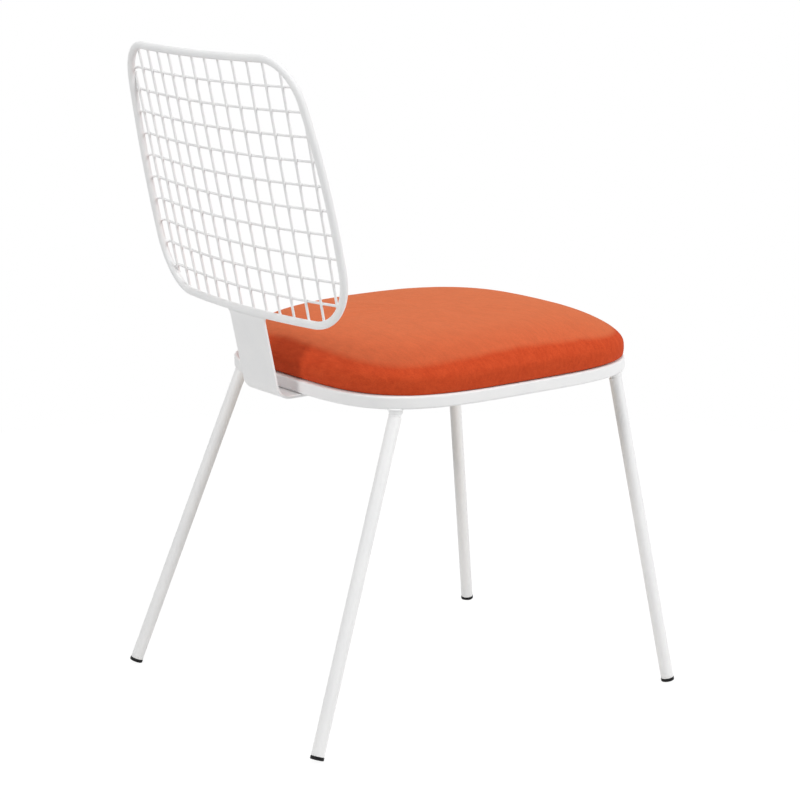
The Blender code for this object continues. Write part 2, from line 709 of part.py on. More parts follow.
def main():
    """Build the chair."""
    seat = bpy.data.objects.new("seat_frame", None)
    CHAIR.objects.link(seat)
    seat.matrix_world = SEAT_FRAME
    ring = build_seat_ring(seat)
    board = build_seat_board(seat)
    build_cushion(seat)
    build_seat_fixings(seat, board)
    build_bracket(seat, ring)
    build_legs(seat)
    build_back_frame()
    build_uprights()
    build_cross_wires()


main()
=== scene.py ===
"""Dress of the wire-back side chair: its pieces, its finishes, the light and the camera.

Lengths are metres and +Z is up. The chair stands on z = 0 and faces -Y, so the
sitter's left hand is on the +X side.
"""

import json
import logging
import math
from dataclasses import dataclass, field, replace
from enum import Enum
from typing import Iterable, Optional, Sequence

import bmesh
import bpy
import numpy as np
from mathutils import Matrix, Vector
from mathutils.kdtree import KDTree

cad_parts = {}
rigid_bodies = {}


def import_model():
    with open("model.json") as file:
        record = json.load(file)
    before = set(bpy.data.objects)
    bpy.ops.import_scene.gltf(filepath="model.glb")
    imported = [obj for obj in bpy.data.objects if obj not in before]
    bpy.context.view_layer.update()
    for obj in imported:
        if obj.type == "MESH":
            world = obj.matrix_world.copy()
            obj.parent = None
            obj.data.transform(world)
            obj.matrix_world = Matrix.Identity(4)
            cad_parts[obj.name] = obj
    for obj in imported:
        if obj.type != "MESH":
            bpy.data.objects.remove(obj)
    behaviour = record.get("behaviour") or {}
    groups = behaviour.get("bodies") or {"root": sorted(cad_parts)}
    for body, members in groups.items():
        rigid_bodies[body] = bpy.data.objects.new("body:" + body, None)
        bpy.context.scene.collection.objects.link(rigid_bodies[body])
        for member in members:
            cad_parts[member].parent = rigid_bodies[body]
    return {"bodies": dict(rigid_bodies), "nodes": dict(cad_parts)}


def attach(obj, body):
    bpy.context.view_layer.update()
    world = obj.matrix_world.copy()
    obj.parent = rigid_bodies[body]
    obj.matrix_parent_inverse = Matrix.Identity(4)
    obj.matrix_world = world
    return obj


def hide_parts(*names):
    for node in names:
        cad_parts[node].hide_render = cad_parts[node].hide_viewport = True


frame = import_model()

LOG = logging.getLogger("side_chair")
BODY = "root"
MERGE_DISTANCE = 0.000004
SHARP_ANGLE = math.radians(38.0)
PATTERN_SPAN = (0.3, 0.7)
PLAIN = (1.0, 1.0, 1.0)
MIX_UNDER, MIX_ABOVE, MIX_RESULT = 6, 7, 2
RIPPLE_DEPTH, RIPPLE_TAPER = 0.10, 0.35

Shape = bmesh.types.BMesh
Vert = bmesh.types.BMVert
Edge = bmesh.types.BMEdge
Socket = bpy.types.NodeSocket
Inputs = dict[str | int, object]
Colour = tuple[float, float, float]
Triple = tuple[float, float, float]
Pair = tuple[float, float]


class Slot(Enum):
    """The finishes that the record names."""

    COAT = "white_powder_coat"
    FABRIC = "terracotta_fabric"
    PLASTIC = "black_plastic"
    BOARD = "birch_plywood"
    ZINC = "zinc_plated_steel"


class Corner(Enum):
    """The four legs, as the side and the end that each stands at."""

    REAR_LEFT = ("rear_left", 1, 1)
    REAR_RIGHT = ("rear_right", -1, 1)
    FRONT_LEFT = ("front_left", 1, -1)
    FRONT_RIGHT = ("front_right", -1, -1)


# ---------------------------------------------------------------- finishes


def fill(tree: bpy.types.NodeTree, node: bpy.types.Node, inputs: Inputs) -> None:
    """Fill a node's inputs, each with a plain value or from another node's output.

    Args:
        tree: The tree that holds the node.
        node: The node.
        inputs: What goes into each input, by its name or number.
    """
    for key, value in inputs.items():
        if isinstance(value, Socket):
            tree.links.new(value, node.inputs[key])
        else:
            node.inputs[key].default_value = value


def add_node(tree: bpy.types.NodeTree, kind: str, inputs: Inputs, **options: str) -> bpy.types.Node:
    """Add a node with its options set and its inputs filled.

    Args:
        tree: The tree that it goes into.
        kind: Its type, without the common prefix.
        inputs: What goes into each input, by its name or number.
        options: The node's own options.

    Returns:
        The node.
    """
    node = tree.nodes.new("ShaderNode" + kind)
    for name, value in options.items():
        setattr(node, name, value)
    fill(tree, node, inputs)
    return node


class Recipe:
    """The node tree of one material, filled in step by step."""

    def __init__(self, slot: Slot) -> None:
        """Start a material with one shader and the piece's own coordinates.

        Args:
            slot: The finish that it is for.
        """
        self.material = bpy.data.materials.new(slot.value)
        self.material.use_nodes = True
        self.tree = self.material.node_tree
        self.place = self.node("TexCoord", {}).outputs["Object"]

    def node(self, kind: str, inputs: Inputs, **options: str) -> bpy.types.Node:
        """Add a node to this material."""
        return add_node(self.tree, kind, inputs, **options)

    def stretched(self, stretch: Triple) -> Socket:
        """Give the piece's own coordinates, drawn closer along each axis."""
        return self.node("Mapping", {"Vector": self.place, "Scale": stretch}).outputs["Vector"]

    def noise(self, scale: float, detail: float, stretch: Triple = PLAIN) -> Socket:
        """Add a cloudy pattern, by its patches in a metre and its finer layers."""
        inputs = {"Vector": self.stretched(stretch), "Scale": scale, "Detail": detail}
        return self.node("TexNoise", inputs).outputs["Fac"]

    def bands(self, scale: float, wander: float, detail: float, stretch: Triple) -> Socket:
        """Add wavy bands, by their number in a metre, how far they wander and their finer layers."""
        inputs = {"Vector": self.stretched(stretch), "Scale": scale, "Distortion": wander, "Detail": detail}
        return self.node("TexWave", inputs).outputs["Fac"]

    def tint(self, pattern: Socket, dark: Colour, light: Colour, span: Pair = PATTERN_SPAN) -> Socket:
        """Colour a pattern from a dark to a light shade.

        Args:
            pattern: Socket of the pattern.
            dark: Colour at the low end.
            light: Colour at the high end.
            span: Pattern values that are fully dark and fully light.

        Returns:
            The colour's output socket.
        """
        ramp = self.node("ValToRGB", {"Fac": pattern})
        for stop, position, colour in zip(ramp.color_ramp.elements, span, (dark, light)):
            stop.position, stop.color = position, (*colour, 1.0)
        return ramp.outputs["Color"]

    def over(self, share: float, under: Socket, above: Socket) -> Socket:
        """Multiply one colour into another by a share."""
        inputs = {"Factor": share, MIX_UNDER: under, MIX_ABOVE: above}
        return self.node("Mix", inputs, data_type="RGBA", blend_type="MULTIPLY").outputs[MIX_RESULT]

    def spread(self, pattern: Socket, low: float, high: float) -> Socket:
        """Turn a pattern into a number between two limits.

        Args:
            pattern: Socket of the pattern.
            low: Number at the low end.
            high: Number at the high end.

        Returns:
            The number's output socket.
        """
        start, end = PATTERN_SPAN
        inputs = {"Value": pattern, "From Min": start, "From Max": end, "To Min": low, "To Max": high}
        return self.node("MapRange", inputs).outputs["Result"]

    def relief(self, pattern: Socket, depth: float, strength: float, under: Optional[Socket] = None) -> Socket:
        """Raise a pattern out of the surface.

        Args:
            pattern: Socket of the pattern.
            depth: Height of the relief.
            strength: How much of it shows.
            under: Normal socket of a coarser relief below it.

        Returns:
            The normal's output socket.
        """
        inputs: Inputs = {"Height": pattern, "Distance": depth, "Strength": strength}
        if under is not None:
            inputs["Normal"] = under
        return self.node("Bump", inputs).outputs["Normal"]

    def painted_top_sheen(self, edge: Pair, weight: float) -> Socket:
        """Paint a sheen on faces that look up, a painted highlight for light from above, and drop it where the cover
        turns down the sides.

        Args:
            edge: Upward share of the surface's direction where the sheen starts and where it is full.
            weight: The full sheen.

        Returns:
            The sheen's output socket.
        """
        facing = self.node("NewGeometry", {}).outputs["Normal"]
        upward = self.node("SeparateXYZ", {"Vector": facing}).outputs["Z"]
        inputs = {"Value": upward, "From Min": edge[0], "From Max": edge[1], "To Max": weight}
        return self.node("MapRange", inputs, interpolation_type="SMOOTHSTEP").outputs["Result"]

    def finish(self, inputs: Inputs) -> bpy.types.Material:
        """Lead everything into the shader and hand the material over."""
        fill(self.tree, self.tree.nodes["Principled BSDF"], inputs)
        return self.material


# In each finish a cloudy pattern is its scale and its finer layers, bands have how far they
# wander between the two, and a relief is its depth and its strength.


@dataclass(frozen=True)
class PowderCoat:
    """Satin white powder coat with a faint orange peel."""

    shade: Colour = (0.835, 0.838, 0.842)
    light: Colour = (0.868, 0.868, 0.866)
    cloud: Pair = (26.0, 3.0)
    peel: Pair = (420.0, 1.5)
    peel_relief: Pair = (0.00012, 0.35)
    grain: Pair = (1900.0, 2.0)
    grain_relief: Pair = (0.00003, 0.3)
    roughness: Pair = (0.46, 0.56)

    def material(self) -> bpy.types.Material:
        """Mix the coat.

        Returns:
            The material.
        """
        recipe = Recipe(Slot.COAT)
        peel = recipe.noise(*self.peel)
        broad = recipe.relief(peel, *self.peel_relief)
        return recipe.finish({
            "Base Color": recipe.tint(recipe.noise(*self.cloud), self.shade, self.light),
            "Roughness": recipe.spread(peel, *self.roughness),
            "Normal": recipe.relief(recipe.noise(*self.grain), *self.grain_relief, under=broad),
        })


@dataclass(frozen=True)
class PileFabric:
    """Soft short-pile upholstery fabric, brushed one way, with a sheen kept to its upward faces as a painted
    highlight for light from above.
    """

    deep: Colour = (0.590, 0.069, 0.0178)
    bright: Colour = (0.645, 0.085, 0.0232)
    shadow: Colour = (0.80, 0.68, 0.64)
    patch: Pair = (55.0, 3.0)
    patch_span: Pair = (0.25, 0.75)
    brush: Pair = (170.0, 3.0)
    brush_stretch: Triple = (0.35, 1.6, 1.0)
    brush_span: Pair = (0.3, 0.62)
    brush_share: float = 0.55
    brush_relief: Pair = (0.0006, 0.22)
    fibre: Pair = (800.0, 4.0)
    fibre_stretch: Triple = (0.55, 1.7, 1.2)
    fibre_span: Pair = (0.3, 0.6)
    fibre_share: float = 0.9
    fibre_relief: Pair = (0.0007, 0.34)
    roughness: Pair = (0.86, 0.98)
    shine: float = 0.15
    # The sheen below is partly painted light: a real sheen, but kept to faces that look up so the top reads paler, as
    # if lit from above.
    top_sheen_tint: Colour = (1.0, 0.41, 0.19)
    top_sheen_edge: Pair = (0.79, 0.88)
    top_sheen_weight: float = 0.56
    top_sheen_softness: float = 0.80

    def material(self) -> bpy.types.Material:
        """Mix the fabric.

        Returns:
            The material.
        """
        recipe = Recipe(Slot.FABRIC)
        brush = recipe.noise(*self.brush, self.brush_stretch)
        fibre = recipe.noise(*self.fibre, self.fibre_stretch)
        ground = recipe.tint(recipe.noise(*self.patch), self.deep, self.bright, self.patch_span)
        strokes = recipe.tint(brush, self.shadow, PLAIN, self.brush_span)
        threads = recipe.tint(fibre, self.shadow, PLAIN, self.fibre_span)
        coarse = recipe.relief(brush, *self.brush_relief)
        return recipe.finish({
            "Base Color": recipe.over(self.fibre_share, recipe.over(self.brush_share, ground, strokes), threads),
            "Roughness": recipe.spread(fibre, *self.roughness),
            "Normal": recipe.relief(fibre, *self.fibre_relief, under=coarse),
            # Painted highlight: the sheen shows only on faces that look up, standing in for light from above.
            "Sheen Weight": recipe.painted_top_sheen(self.top_sheen_edge, self.top_sheen_weight),
            "Sheen Roughness": self.top_sheen_softness,
            "Sheen Tint": (*self.top_sheen_tint, 1.0),
            "Specular IOR Level": self.shine,
        })


@dataclass(frozen=True)
class MouldedPlastic:
    """Black moulded plastic with a fine spark-eroded texture."""

    dark: Colour = (0.004, 0.004, 0.0045)
    worn: Colour = (0.010, 0.010, 0.011)
    scuff: Pair = (90.0, 4.0)
    scuff_span: Pair = (0.45, 0.8)
    texture: Pair = (1500.0, 2.0)
    texture_relief: Pair = (0.00006, 0.5)
    roughness: Pair = (0.42, 0.62)
    shine: float = 0.2

    def material(self) -> bpy.types.Material:
        """Mix the plastic.

        Returns:
            The material.
        """
        recipe = Recipe(Slot.PLASTIC)
        scuff = recipe.noise(*self.scuff)
        return recipe.finish({
            "Base Color": recipe.tint(scuff, self.dark, self.worn, self.scuff_span),
            "Roughness": recipe.spread(scuff, *self.roughness),
            "Normal": recipe.relief(recipe.noise(*self.texture), *self.texture_relief),
            "Specular IOR Level": self.shine,
        })


@dataclass(frozen=True)
class BirchPlywood:
    """Rotary-cut birch veneer, its grain running from front to back."""

    pale: Colour = (0.640, 0.470, 0.290)
    amber: Colour = (0.500, 0.330, 0.170)
    vein: Colour = (0.78, 0.66, 0.52)
    figure: Triple = (7.0, 9.0, 3.0)
    figure_stretch: Triple = (1.0, 0.12, 1.0)
    figure_span: Pair = (0.15, 0.75)
    pores: Pair = (1100.0, 3.0)
    pore_stretch: Triple = (1.0, 0.03, 1.0)
    pore_span: Pair = (0.34, 0.55)
    pore_share: float = 0.8
    pore_relief: Pair = (0.00025, 0.35)
    roughness: Pair = (0.74, 0.58)

    def material(self) -> bpy.types.Material:
        """Mix the veneer.

        Returns:
            The material.
        """
        recipe = Recipe(Slot.BOARD)
        pores = recipe.noise(*self.pores, self.pore_stretch)
        figure = recipe.bands(*self.figure, self.figure_stretch)
        ground = recipe.tint(figure, self.amber, self.pale, self.figure_span)
        veins = recipe.tint(pores, self.vein, PLAIN, self.pore_span)
        return recipe.finish({
            "Base Color": recipe.over(self.pore_share, ground, veins),
            "Roughness": recipe.spread(pores, *self.roughness),
            "Normal": recipe.relief(pores, *self.pore_relief),
        })


@dataclass(frozen=True)
class ZincPlate:
    """Bright zinc plating with a slight cloud of passivation."""

    cool: Colour = (0.52, 0.54, 0.57)
    warm: Colour = (0.66, 0.65, 0.60)
    cloud: Pair = (260.0, 3.0)
    grain: Pair = (2600.0, 2.0)
    grain_relief: Pair = (0.00003, 0.4)
    roughness: Pair = (0.26, 0.42)

    def material(self) -> bpy.types.Material:
        """Mix the plating.

        Returns:
            The material.
        """
        recipe = Recipe(Slot.ZINC)
        cloud = recipe.noise(*self.cloud)
        return recipe.finish({
            "Base Color": recipe.tint(cloud, self.cool, self.warm),
            "Roughness": recipe.spread(cloud, *self.roughness),
            "Normal": recipe.relief(recipe.noise(*self.grain), *self.grain_relief),
            "Metallic": 1.0,
        })


@dataclass(frozen=True)
class FinishShop:
    """Turns modelled shapes into finished pieces that ride on the chair."""

    materials: dict[Slot, bpy.types.Material]

    @classmethod
    def open(cls) -> "FinishShop":
        """Mix every finish once.

        Returns:
            The shop with its materials.
        """
        return cls({
            Slot.COAT: PowderCoat().material(),
            Slot.FABRIC: PileFabric().material(),
            Slot.PLASTIC: MouldedPlastic().material(),
            Slot.BOARD: BirchPlywood().material(),
            Slot.ZINC: ZincPlate().material(),
        })

    def piece(self, name: str, bm: Shape, slot: Slot, nodes: Iterable[str] = ()) -> bpy.types.Object:
        """Finish a shape as one piece of the chair.

        Args:
            name: Name of the piece.
            bm: Its shape, in the chair's own frame, which is used up.
            slot: Its finish.
            nodes: The plain solids that it stands for.

        Returns:
            The finished object.
        """
        bmesh.ops.remove_doubles(bm, verts=bm.verts[:], dist=MERGE_DISTANCE)
        bmesh.ops.recalc_face_normals(bm, faces=bm.faces[:])
        for edge in bm.edges:
            edge.smooth = edge.calc_face_angle(0.0) < SHARP_ANGLE
        for face in bm.faces:
            face.smooth = True
        data = settle(name, bm)
        data.materials.append(self.materials[slot])
        item = show(name, data)
        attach(item, BODY)
        if nodes:
            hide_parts(*nodes)
        LOG.info("%s: %d faces", name, len(data.polygons))
        return item

    def dress(self, node: str, slot: Slot) -> None:
        """Give a plain solid that stays its finish.

        Args:
            node: Name of the solid.
            slot: Its finish.
        """
        item = frame["nodes"][node]
        item.data.materials.clear()
        item.data.materials.append(self.materials[slot])
        LOG.info("%s: %s", node, slot.value)


# ---------------------------------------------------------------- shop tools


def settle(name: str, bm: Shape) -> bpy.types.Mesh:
    """Turn a shape into mesh data.

    Args:
        name: Name of the data.
        bm: The shape, which is used up.

    Returns:
        The mesh data.
    """
    data = bpy.data.meshes.new(name)
    bm.to_mesh(data)
    bm.free()
    return data


def show(name: str, data: bpy.types.ID) -> bpy.types.Object:
    """Put an object into the scene.

    Args:
        name: Name of the object.
        data: What it shows.

    Returns:
        The object.
    """
    item = bpy.data.objects.new(name, data)
    bpy.context.scene.collection.objects.link(item)
    return item


def moved(bm: Shape, matrix: Matrix) -> Shape:
    """Move a shape and hand it on."""
    bmesh.ops.transform(bm, matrix=matrix, verts=bm.verts[:])
    return bm


def made(result: dict, kind: type) -> list:
    """Pick the vertices or the edges out of what an operator made."""
    return [part for part in result.get("geom") or result["geom_last"] if isinstance(part, kind)]


def rim(verts: Iterable[Vert]) -> list[Edge]:
    """List the edges at some vertices, each once."""
    return list(dict.fromkeys(edge for vert in verts for edge in vert.link_edges))


def open_edges(bm: Shape) -> list[Edge]:
    """List the edges round the holes of a shape."""
    return [edge for edge in bm.edges if edge.is_boundary]


def soften(bm: Shape, geom: Sequence, radius: float, steps: int, affect: str = "EDGES") -> None:
    """Round edges or corners of a shape."""
    bmesh.ops.bevel(
        bm, geom=geom, offset=radius, offset_type="OFFSET", segments=steps, profile=0.5, affect=affect, material=-1,
    )


def even_shading(item: bpy.types.Object) -> None:
    """Keep flat faces flat in the light beside their rounded edges."""
    item.modifiers.new("even_shading", "WEIGHTED_NORMAL").keep_sharp = True


def stand(direction: Vector, place: Vector) -> Matrix:
    """Give the matrix that stands a Z-up shape along a direction at a place."""
    return Matrix.Translation(place) @ direction.to_track_quat("Z", "Y").to_matrix().to_4x4()


def sweep(
    points: Sequence[Vector], radius: float, sides: int, closed: bool = False,
    swell: Optional[Sequence[float]] = None,
) -> Shape:
    """Draw a round bar along points.

    Args:
        points: The line that the middle of the bar follows.
        radius: Radius of the bar.
        sides: Facets around the bar.
        closed: Whether the bar runs back into its own start.
        swell: Radius factor at each point.

    Returns:
        The bar's shape.
    """
    data = bpy.data.curves.new("sweep", "CURVE")
    data.dimensions = "3D"
    data.bevel_depth = radius
    data.bevel_resolution = (sides - 4) // 2
    data.use_fill_caps = not closed
    line = data.splines.new("POLY")
    line.points.add(len(points) - 1)
    for index, (knot, place) in enumerate(zip(line.points, points)):
        knot.co = (*place, 1.0)
        knot.radius = swell[index] if swell else 1.0
    line.use_cyclic_u = closed
    item = bpy.data.objects.new("sweep", data)
    mesh = bpy.data.meshes.new_from_object(item)
    bm = bmesh.new()
    bm.from_mesh(mesh)
    bpy.data.objects.remove(item)
    bpy.data.curves.remove(data)
    bpy.data.meshes.remove(mesh)
    return bm


def turn(profile: Sequence[Pair], steps: int, closed: bool = False) -> Shape:
    """Turn a profile about the Z axis.

    Args:
        profile: Radius and height pairs.
        steps: Facets around the axis.
        closed: Whether the last corner joins the first.

    Returns:
        The turned shape.
    """
    bm = bmesh.new()
    corners = [bm.verts.new((radius, 0.0, height)) for radius, height in profile]
    edges = [bm.edges.new(pair) for pair in zip(corners, corners[1:])]
    if closed:
        edges.append(bm.edges.new((corners[-1], corners[0])))
    bmesh.ops.spin(
        bm, geom=corners + edges, cent=(0, 0, 0), axis=(0, 0, 1), dvec=(0, 0, 0),
        angle=2 * math.pi, steps=steps, use_merge=True, use_duplicate=False,
    )
    bmesh.ops.remove_doubles(bm, verts=bm.verts[:], dist=MERGE_DISTANCE)
    return bm


def round_corner(centre: Pair, radius: float, start: float, end: float, steps: int) -> list[Pair]:
    """Lay points round a corner of a profile.

    Args:
        centre: Centre of the rounding.
        radius: Its radius.
        start: First angle in degrees.
        end: Last angle in degrees.
        steps: Steps between them.

    Returns:
        The points as pairs.
    """
    angles = [math.radians(start + (end - start) * step / steps) for step in range(steps + 1)]
    return [(centre[0] + radius * math.cos(a), centre[1] + radius * math.sin(a)) for a in angles]


def join_shapes(shapes: Iterable[Shape]) -> Shape:
    """Gather several shapes into one.

    Args:
        shapes: The shapes, which are used up.

    Returns:
        One shape that holds them all.
    """
    whole = bmesh.new()
    for shape in shapes:
        part = settle("part", shape)
        whole.from_mesh(part)
        bpy.data.meshes.remove(part)
    return whole


def ripple(count: int) -> list[float]:
    """Give a weld bead's swell at each step, thin at both ends."""
    return [
        (1.0 + RIPPLE_DEPTH * math.cos(math.pi * index))
        * min(1.0, RIPPLE_TAPER + min(index, count - 1 - index) * RIPPLE_TAPER)
        for index in range(count)
    ]


@dataclass(frozen=True)
class SocketScrew:
    """A button-head screw with a six-sided socket, its head downward."""

    shank_radius: float
    shank_top: float
    head_radius: float
    head_height: float
    tip_share: float = 0.7
    crown_share: float = 0.68
    wall_share: float = 0.3
    socket_share: float = 0.42
    socket_depth: float = 0.6
    dome_steps: int = 5
    facets: int = 24

    def shape(self, head_top: float) -> Shape:
        """Turn the screw and sink its socket.

        Args:
            head_top: Height where the head meets what it holds.

        Returns:
            The screw's shape on the Z axis.
        """
        slim = self.head_radius - self.head_radius * self.crown_share
        wall = head_top - self.head_height * self.wall_share
        crown = self.head_height * (1 - self.wall_share)
        bends = [math.pi / 2 * step / self.dome_steps for step in range(self.dome_steps + 1)]
        bm = turn([
            (0.0, self.shank_top), (self.shank_radius * self.tip_share, self.shank_top),
            (self.shank_radius, self.shank_top - self.shank_radius / 2), (self.shank_radius, head_top),
            (self.head_radius, head_top),
            *[(self.head_radius - slim * (1 - math.cos(bend)), wall - crown * math.sin(bend)) for bend in bends],
        ], self.facets)
        edge = open_edges(bm)
        hexagon = bmesh.ops.create_circle(bm, segments=self.facets, radius=1.0)["verts"]
        for vert in hexagon:
            angle = math.atan2(vert.co.y, vert.co.x)
            reach = self.head_radius * self.socket_share / math.cos(angle % (math.pi / 3) - math.pi / 6)
            vert.co = (reach * math.cos(angle), reach * math.sin(angle), head_top - self.head_height)
        socket = rim(hexagon)
        bmesh.ops.bridge_loops(bm, edges=edge + socket)
        walls = made(bmesh.ops.extrude_edge_only(bm, edges=socket), Vert)
        bmesh.ops.translate(bm, vec=(0.0, 0.0, self.head_height * self.socket_depth), verts=walls)
        bmesh.ops.holes_fill(bm, edges=open_edges(bm), sides=0)
        return bm


# ---------------------------------------------------------------- seat


@dataclass(frozen=True)
class SeatFrame:
    """The seat's own tilted frame and its outline, a rounded square."""

    width: float = 0.435
    depth: float = 0.4266
    squareness: float = 3.62
    centre_y: float = -0.05314
    tilt_degrees: float = 1.64
    underside_height: float = 0.400

    @property
    def matrix(self) -> Matrix:
        """The seat's place on the chair."""
        lift = Matrix.Translation((0.0, self.centre_y, self.underside_height))
        return lift @ Matrix.Rotation(-math.radians(self.tilt_degrees), 4, "X")

    def outline(self, angle: float, inset: float = 0.0) -> Vector:
        """Give a point on the seat's outline.

        Args:
            angle: Direction from the middle of the seat.
            inset: How far the point is drawn in from the edge.

        Returns:
            The point in the seat's own frame.
        """
        half = Vector((self.width / 2, self.depth / 2))
        heading = Vector((math.cos(angle), math.sin(angle)))
        share = [abs(heading[axis] / half[axis]) ** self.squareness for axis in (0, 1)]
        spot = heading * sum(share) ** (-1 / self.squareness)
        slope = Vector([
            math.copysign(abs(spot[axis] / half[axis]) ** (self.squareness - 1) / half[axis], spot[axis])
            for axis in (0, 1)
        ]).normalized()
        spot = spot - inset * slope
        return Vector((spot.x, spot.y, 0.0))


@dataclass
class SeatRing:
    """The seat frame: a flat-sided bar bent to the outline, its edges rounded."""

    seat: SeatFrame
    bar_width: float = 0.020
    bar_height: float = 0.016
    edge_radius: float = 0.003
    points: int = 240
    edge_steps: int = 4

    def build(self, shop: FinishShop) -> None:
        """Turn the bar about a round of one metre, draw it in to the outline and round its edges.

        Args:
            shop: Where the piece is finished.
        """
        outer, inner = 1.0, 1.0 - self.bar_width
        section = [(outer, 0.0), (outer, self.bar_height), (inner, self.bar_height), (inner, 0.0)]
        bm = turn(section, self.points, closed=True)
        for vert in bm.verts:
            angle, inset, height = math.atan2(vert.co.y, vert.co.x), outer - vert.co.xy.length, vert.co.z
            vert.co = self.seat.outline(angle, inset)
            vert.co.z = height
        bmesh.ops.recalc_face_normals(bm, faces=bm.faces[:])
        corners = [edge for edge in bm.edges if edge.calc_face_angle(0.0) > SHARP_ANGLE]
        soften(bm, corners, self.edge_radius, self.edge_steps)
        even_shading(shop.piece("ring_bar", moved(bm, self.seat.matrix), Slot.COAT, ["seat_ring"]))


@dataclass
class SeatPad:
    """The loose pad: foam in a pile cover, blown up a little from a drawn-in shape."""

    seat: SeatFrame
    base: float = 0.0161
    height: float = 0.0619
    foot_inset: float = 0.0036
    foot_curl: float = 0.0005
    low_inset: float = -0.0009
    high_inset: float = -0.0027
    shoulder_inset: float = 0.010
    shoulder_drop: float = 0.0249
    crown_inset: float = 0.044
    crown_drop: float = 0.0041
    rear_tuck: float = 0.0050
    squareness: tuple[float, float, float, float] = (3.60, 3.37, 3.29, 2.76)
    slack: float = 0.0025
    swell_limit: float = 0.006
    pressure: float = 12.0
    stiffness: float = 15.0
    bending: float = 2.0
    foam_stiffness: float = 0.0006
    frames: int = 20
    held_height: float = 0.0015
    free_height: float = 0.014
    points: int = 64
    fineness: int = 2
    fill: float = 0.85

    def rows(self) -> list[Triple]:
        """List the pad's cage from under its middle, out and up to its crown, rounder as it rises.

        Returns:
            Inset, height and squareness of each row.
        """
        middle = self.seat.depth / 4
        shoulder = self.height - self.shoulder_drop
        foot, side, edge, crown = self.squareness
        return [
            (middle, 0.0, foot),
            (self.foot_inset + 3 * self.foot_curl, 0.0, foot),
            (self.foot_inset + self.foot_curl / 2, 0.0, foot),
            (self.foot_inset - self.foot_curl / 3, self.foot_curl, foot),
            (self.low_inset, shoulder / 3, foot),
            (self.high_inset, shoulder * 2 / 3, side),
            (self.shoulder_inset, shoulder, edge),
            (self.crown_inset, self.height - self.crown_drop, crown),
            (middle, self.height, crown),
        ]

    def cage(self) -> bpy.types.Object:
        """Raise the pad's coarse cage in the seat's own frame.

        Returns:
            The cage as an object in the scene.
        """
        bm = bmesh.new()
        loops = []
        half = self.seat.depth / 2
        for inset, height, squareness in self.rows():
            verts = bmesh.ops.create_circle(bm, segments=self.points, radius=1.0)["verts"]
            shape = replace(self.seat, squareness=squareness)
            for vert in verts:
                vert.co = shape.outline(math.atan2(vert.co.y, vert.co.x)) * (1 - inset / half)
                vert.co.y *= 1 - self.rear_tuck / half if vert.co.y > 0 else 1.0
                vert.co.z = self.base + height
            loops.append(rim(verts))
        for first, second in zip(loops, loops[1:]):
            bmesh.ops.bridge_loops(bm, edges=first + second)
        for loop in (loops[0], loops[-1]):
            lid = bmesh.ops.contextual_create(bm, geom=loop)["faces"]
            bmesh.ops.poke(bm, faces=lid)
        bmesh.ops.recalc_face_normals(bm, faces=bm.faces[:])
        return show("pad_net", settle("pad_net", bm))

    def net(self) -> bpy.types.Object:
        """Cover the cage with a fine even net.

        Returns:
            An object in the scene with the net as its mesh.
        """
        item = self.cage()
        fine = item.modifiers.new("fine", "SUBSURF")
        fine.levels = fine.render_levels = self.fineness
        graph = bpy.context.evaluated_depsgraph_get()
        item.data = bpy.data.meshes.new_from_object(item.evaluated_get(graph))
        item.modifiers.clear()
        return item

    def blow_up(self, item: bpy.types.Object) -> None:
        """Draw the cover in, then let it swell under the foam's pressure, held where it rests.

        Args:
            item: The net, which takes the swollen shape.
        """
        full = np.array([vert.co for vert in item.data.vertices])
        low, high = full.min(axis=0), full.max(axis=0)
        free = np.clip((full[:, 2:] - low[2]) / self.free_height, 0.0, 1.0)
        start = full - free * self.slack * (full - (0, 0, low[2])) / ((high - low) * (0.5, 0.5, 1.0))
        item.data.vertices.foreach_set("co", start.astype(np.float32).ravel())
        item.data.update()
        outward = np.array([vert.normal for vert in item.data.vertices])
        held = item.vertex_groups.new(name="rests")
        held.add([int(index) for index in np.nonzero(full[:, 2] < low[2] + self.held_height)[0]], 1.0, "REPLACE")
        cloth = item.modifiers.new("cover", "CLOTH").settings
        cloth.use_pressure = True
        cloth.uniform_pressure_force = self.pressure
        cloth.tension_stiffness = cloth.compression_stiffness = self.stiffness
        cloth.bending_stiffness = self.bending
        cloth.use_internal_springs = True
        cloth.internal_tension_stiffness = cloth.internal_compression_stiffness = self.foam_stiffness
        cloth.effector_weights.gravity = 0.0
        cloth.vertex_group_mass = held.name
        scene = bpy.context.scene
        for step in range(1, self.frames + 1):
            scene.frame_set(step)
        graph = bpy.context.evaluated_depsgraph_get()
        shift = np.array([vert.co for vert in item.evaluated_get(graph).to_mesh().vertices]) - start
        scene.frame_set(1)
        item.modifiers.clear()
        swell = np.sum(shift * outward, axis=1, keepdims=True)
        LOG.info("pad swelled %.1f mm on average, %.1f mm at most", 1000 * swell.mean(), 1000 * swell.max())
        shape = start + free * np.clip(swell, 0.0, self.swell_limit) * outward
        fit = (high - low) / (shape.max(axis=0) - shape.min(axis=0))
        shape = (shape - shape.min(axis=0)) * fit + low
        item.data.vertices.foreach_set("co", shape.astype(np.float32).ravel())

    def build(self, shop: FinishShop) -> None:
        """Make the pad and lay it on the ring and the board.

        Args:
            shop: Where the piece is finished.
        """
        net = self.net()
        self.blow_up(net)
        bm = bmesh.new()
        bm.from_mesh(net.data)
        bpy.data.objects.remove(net)
        pad = shop.piece("pad_cover", moved(bm, self.seat.matrix), Slot.FABRIC, ["seat_cushion"])
        smooth = pad.modifiers.new("soften", "SUBSURF")
        smooth.levels = smooth.render_levels = 1


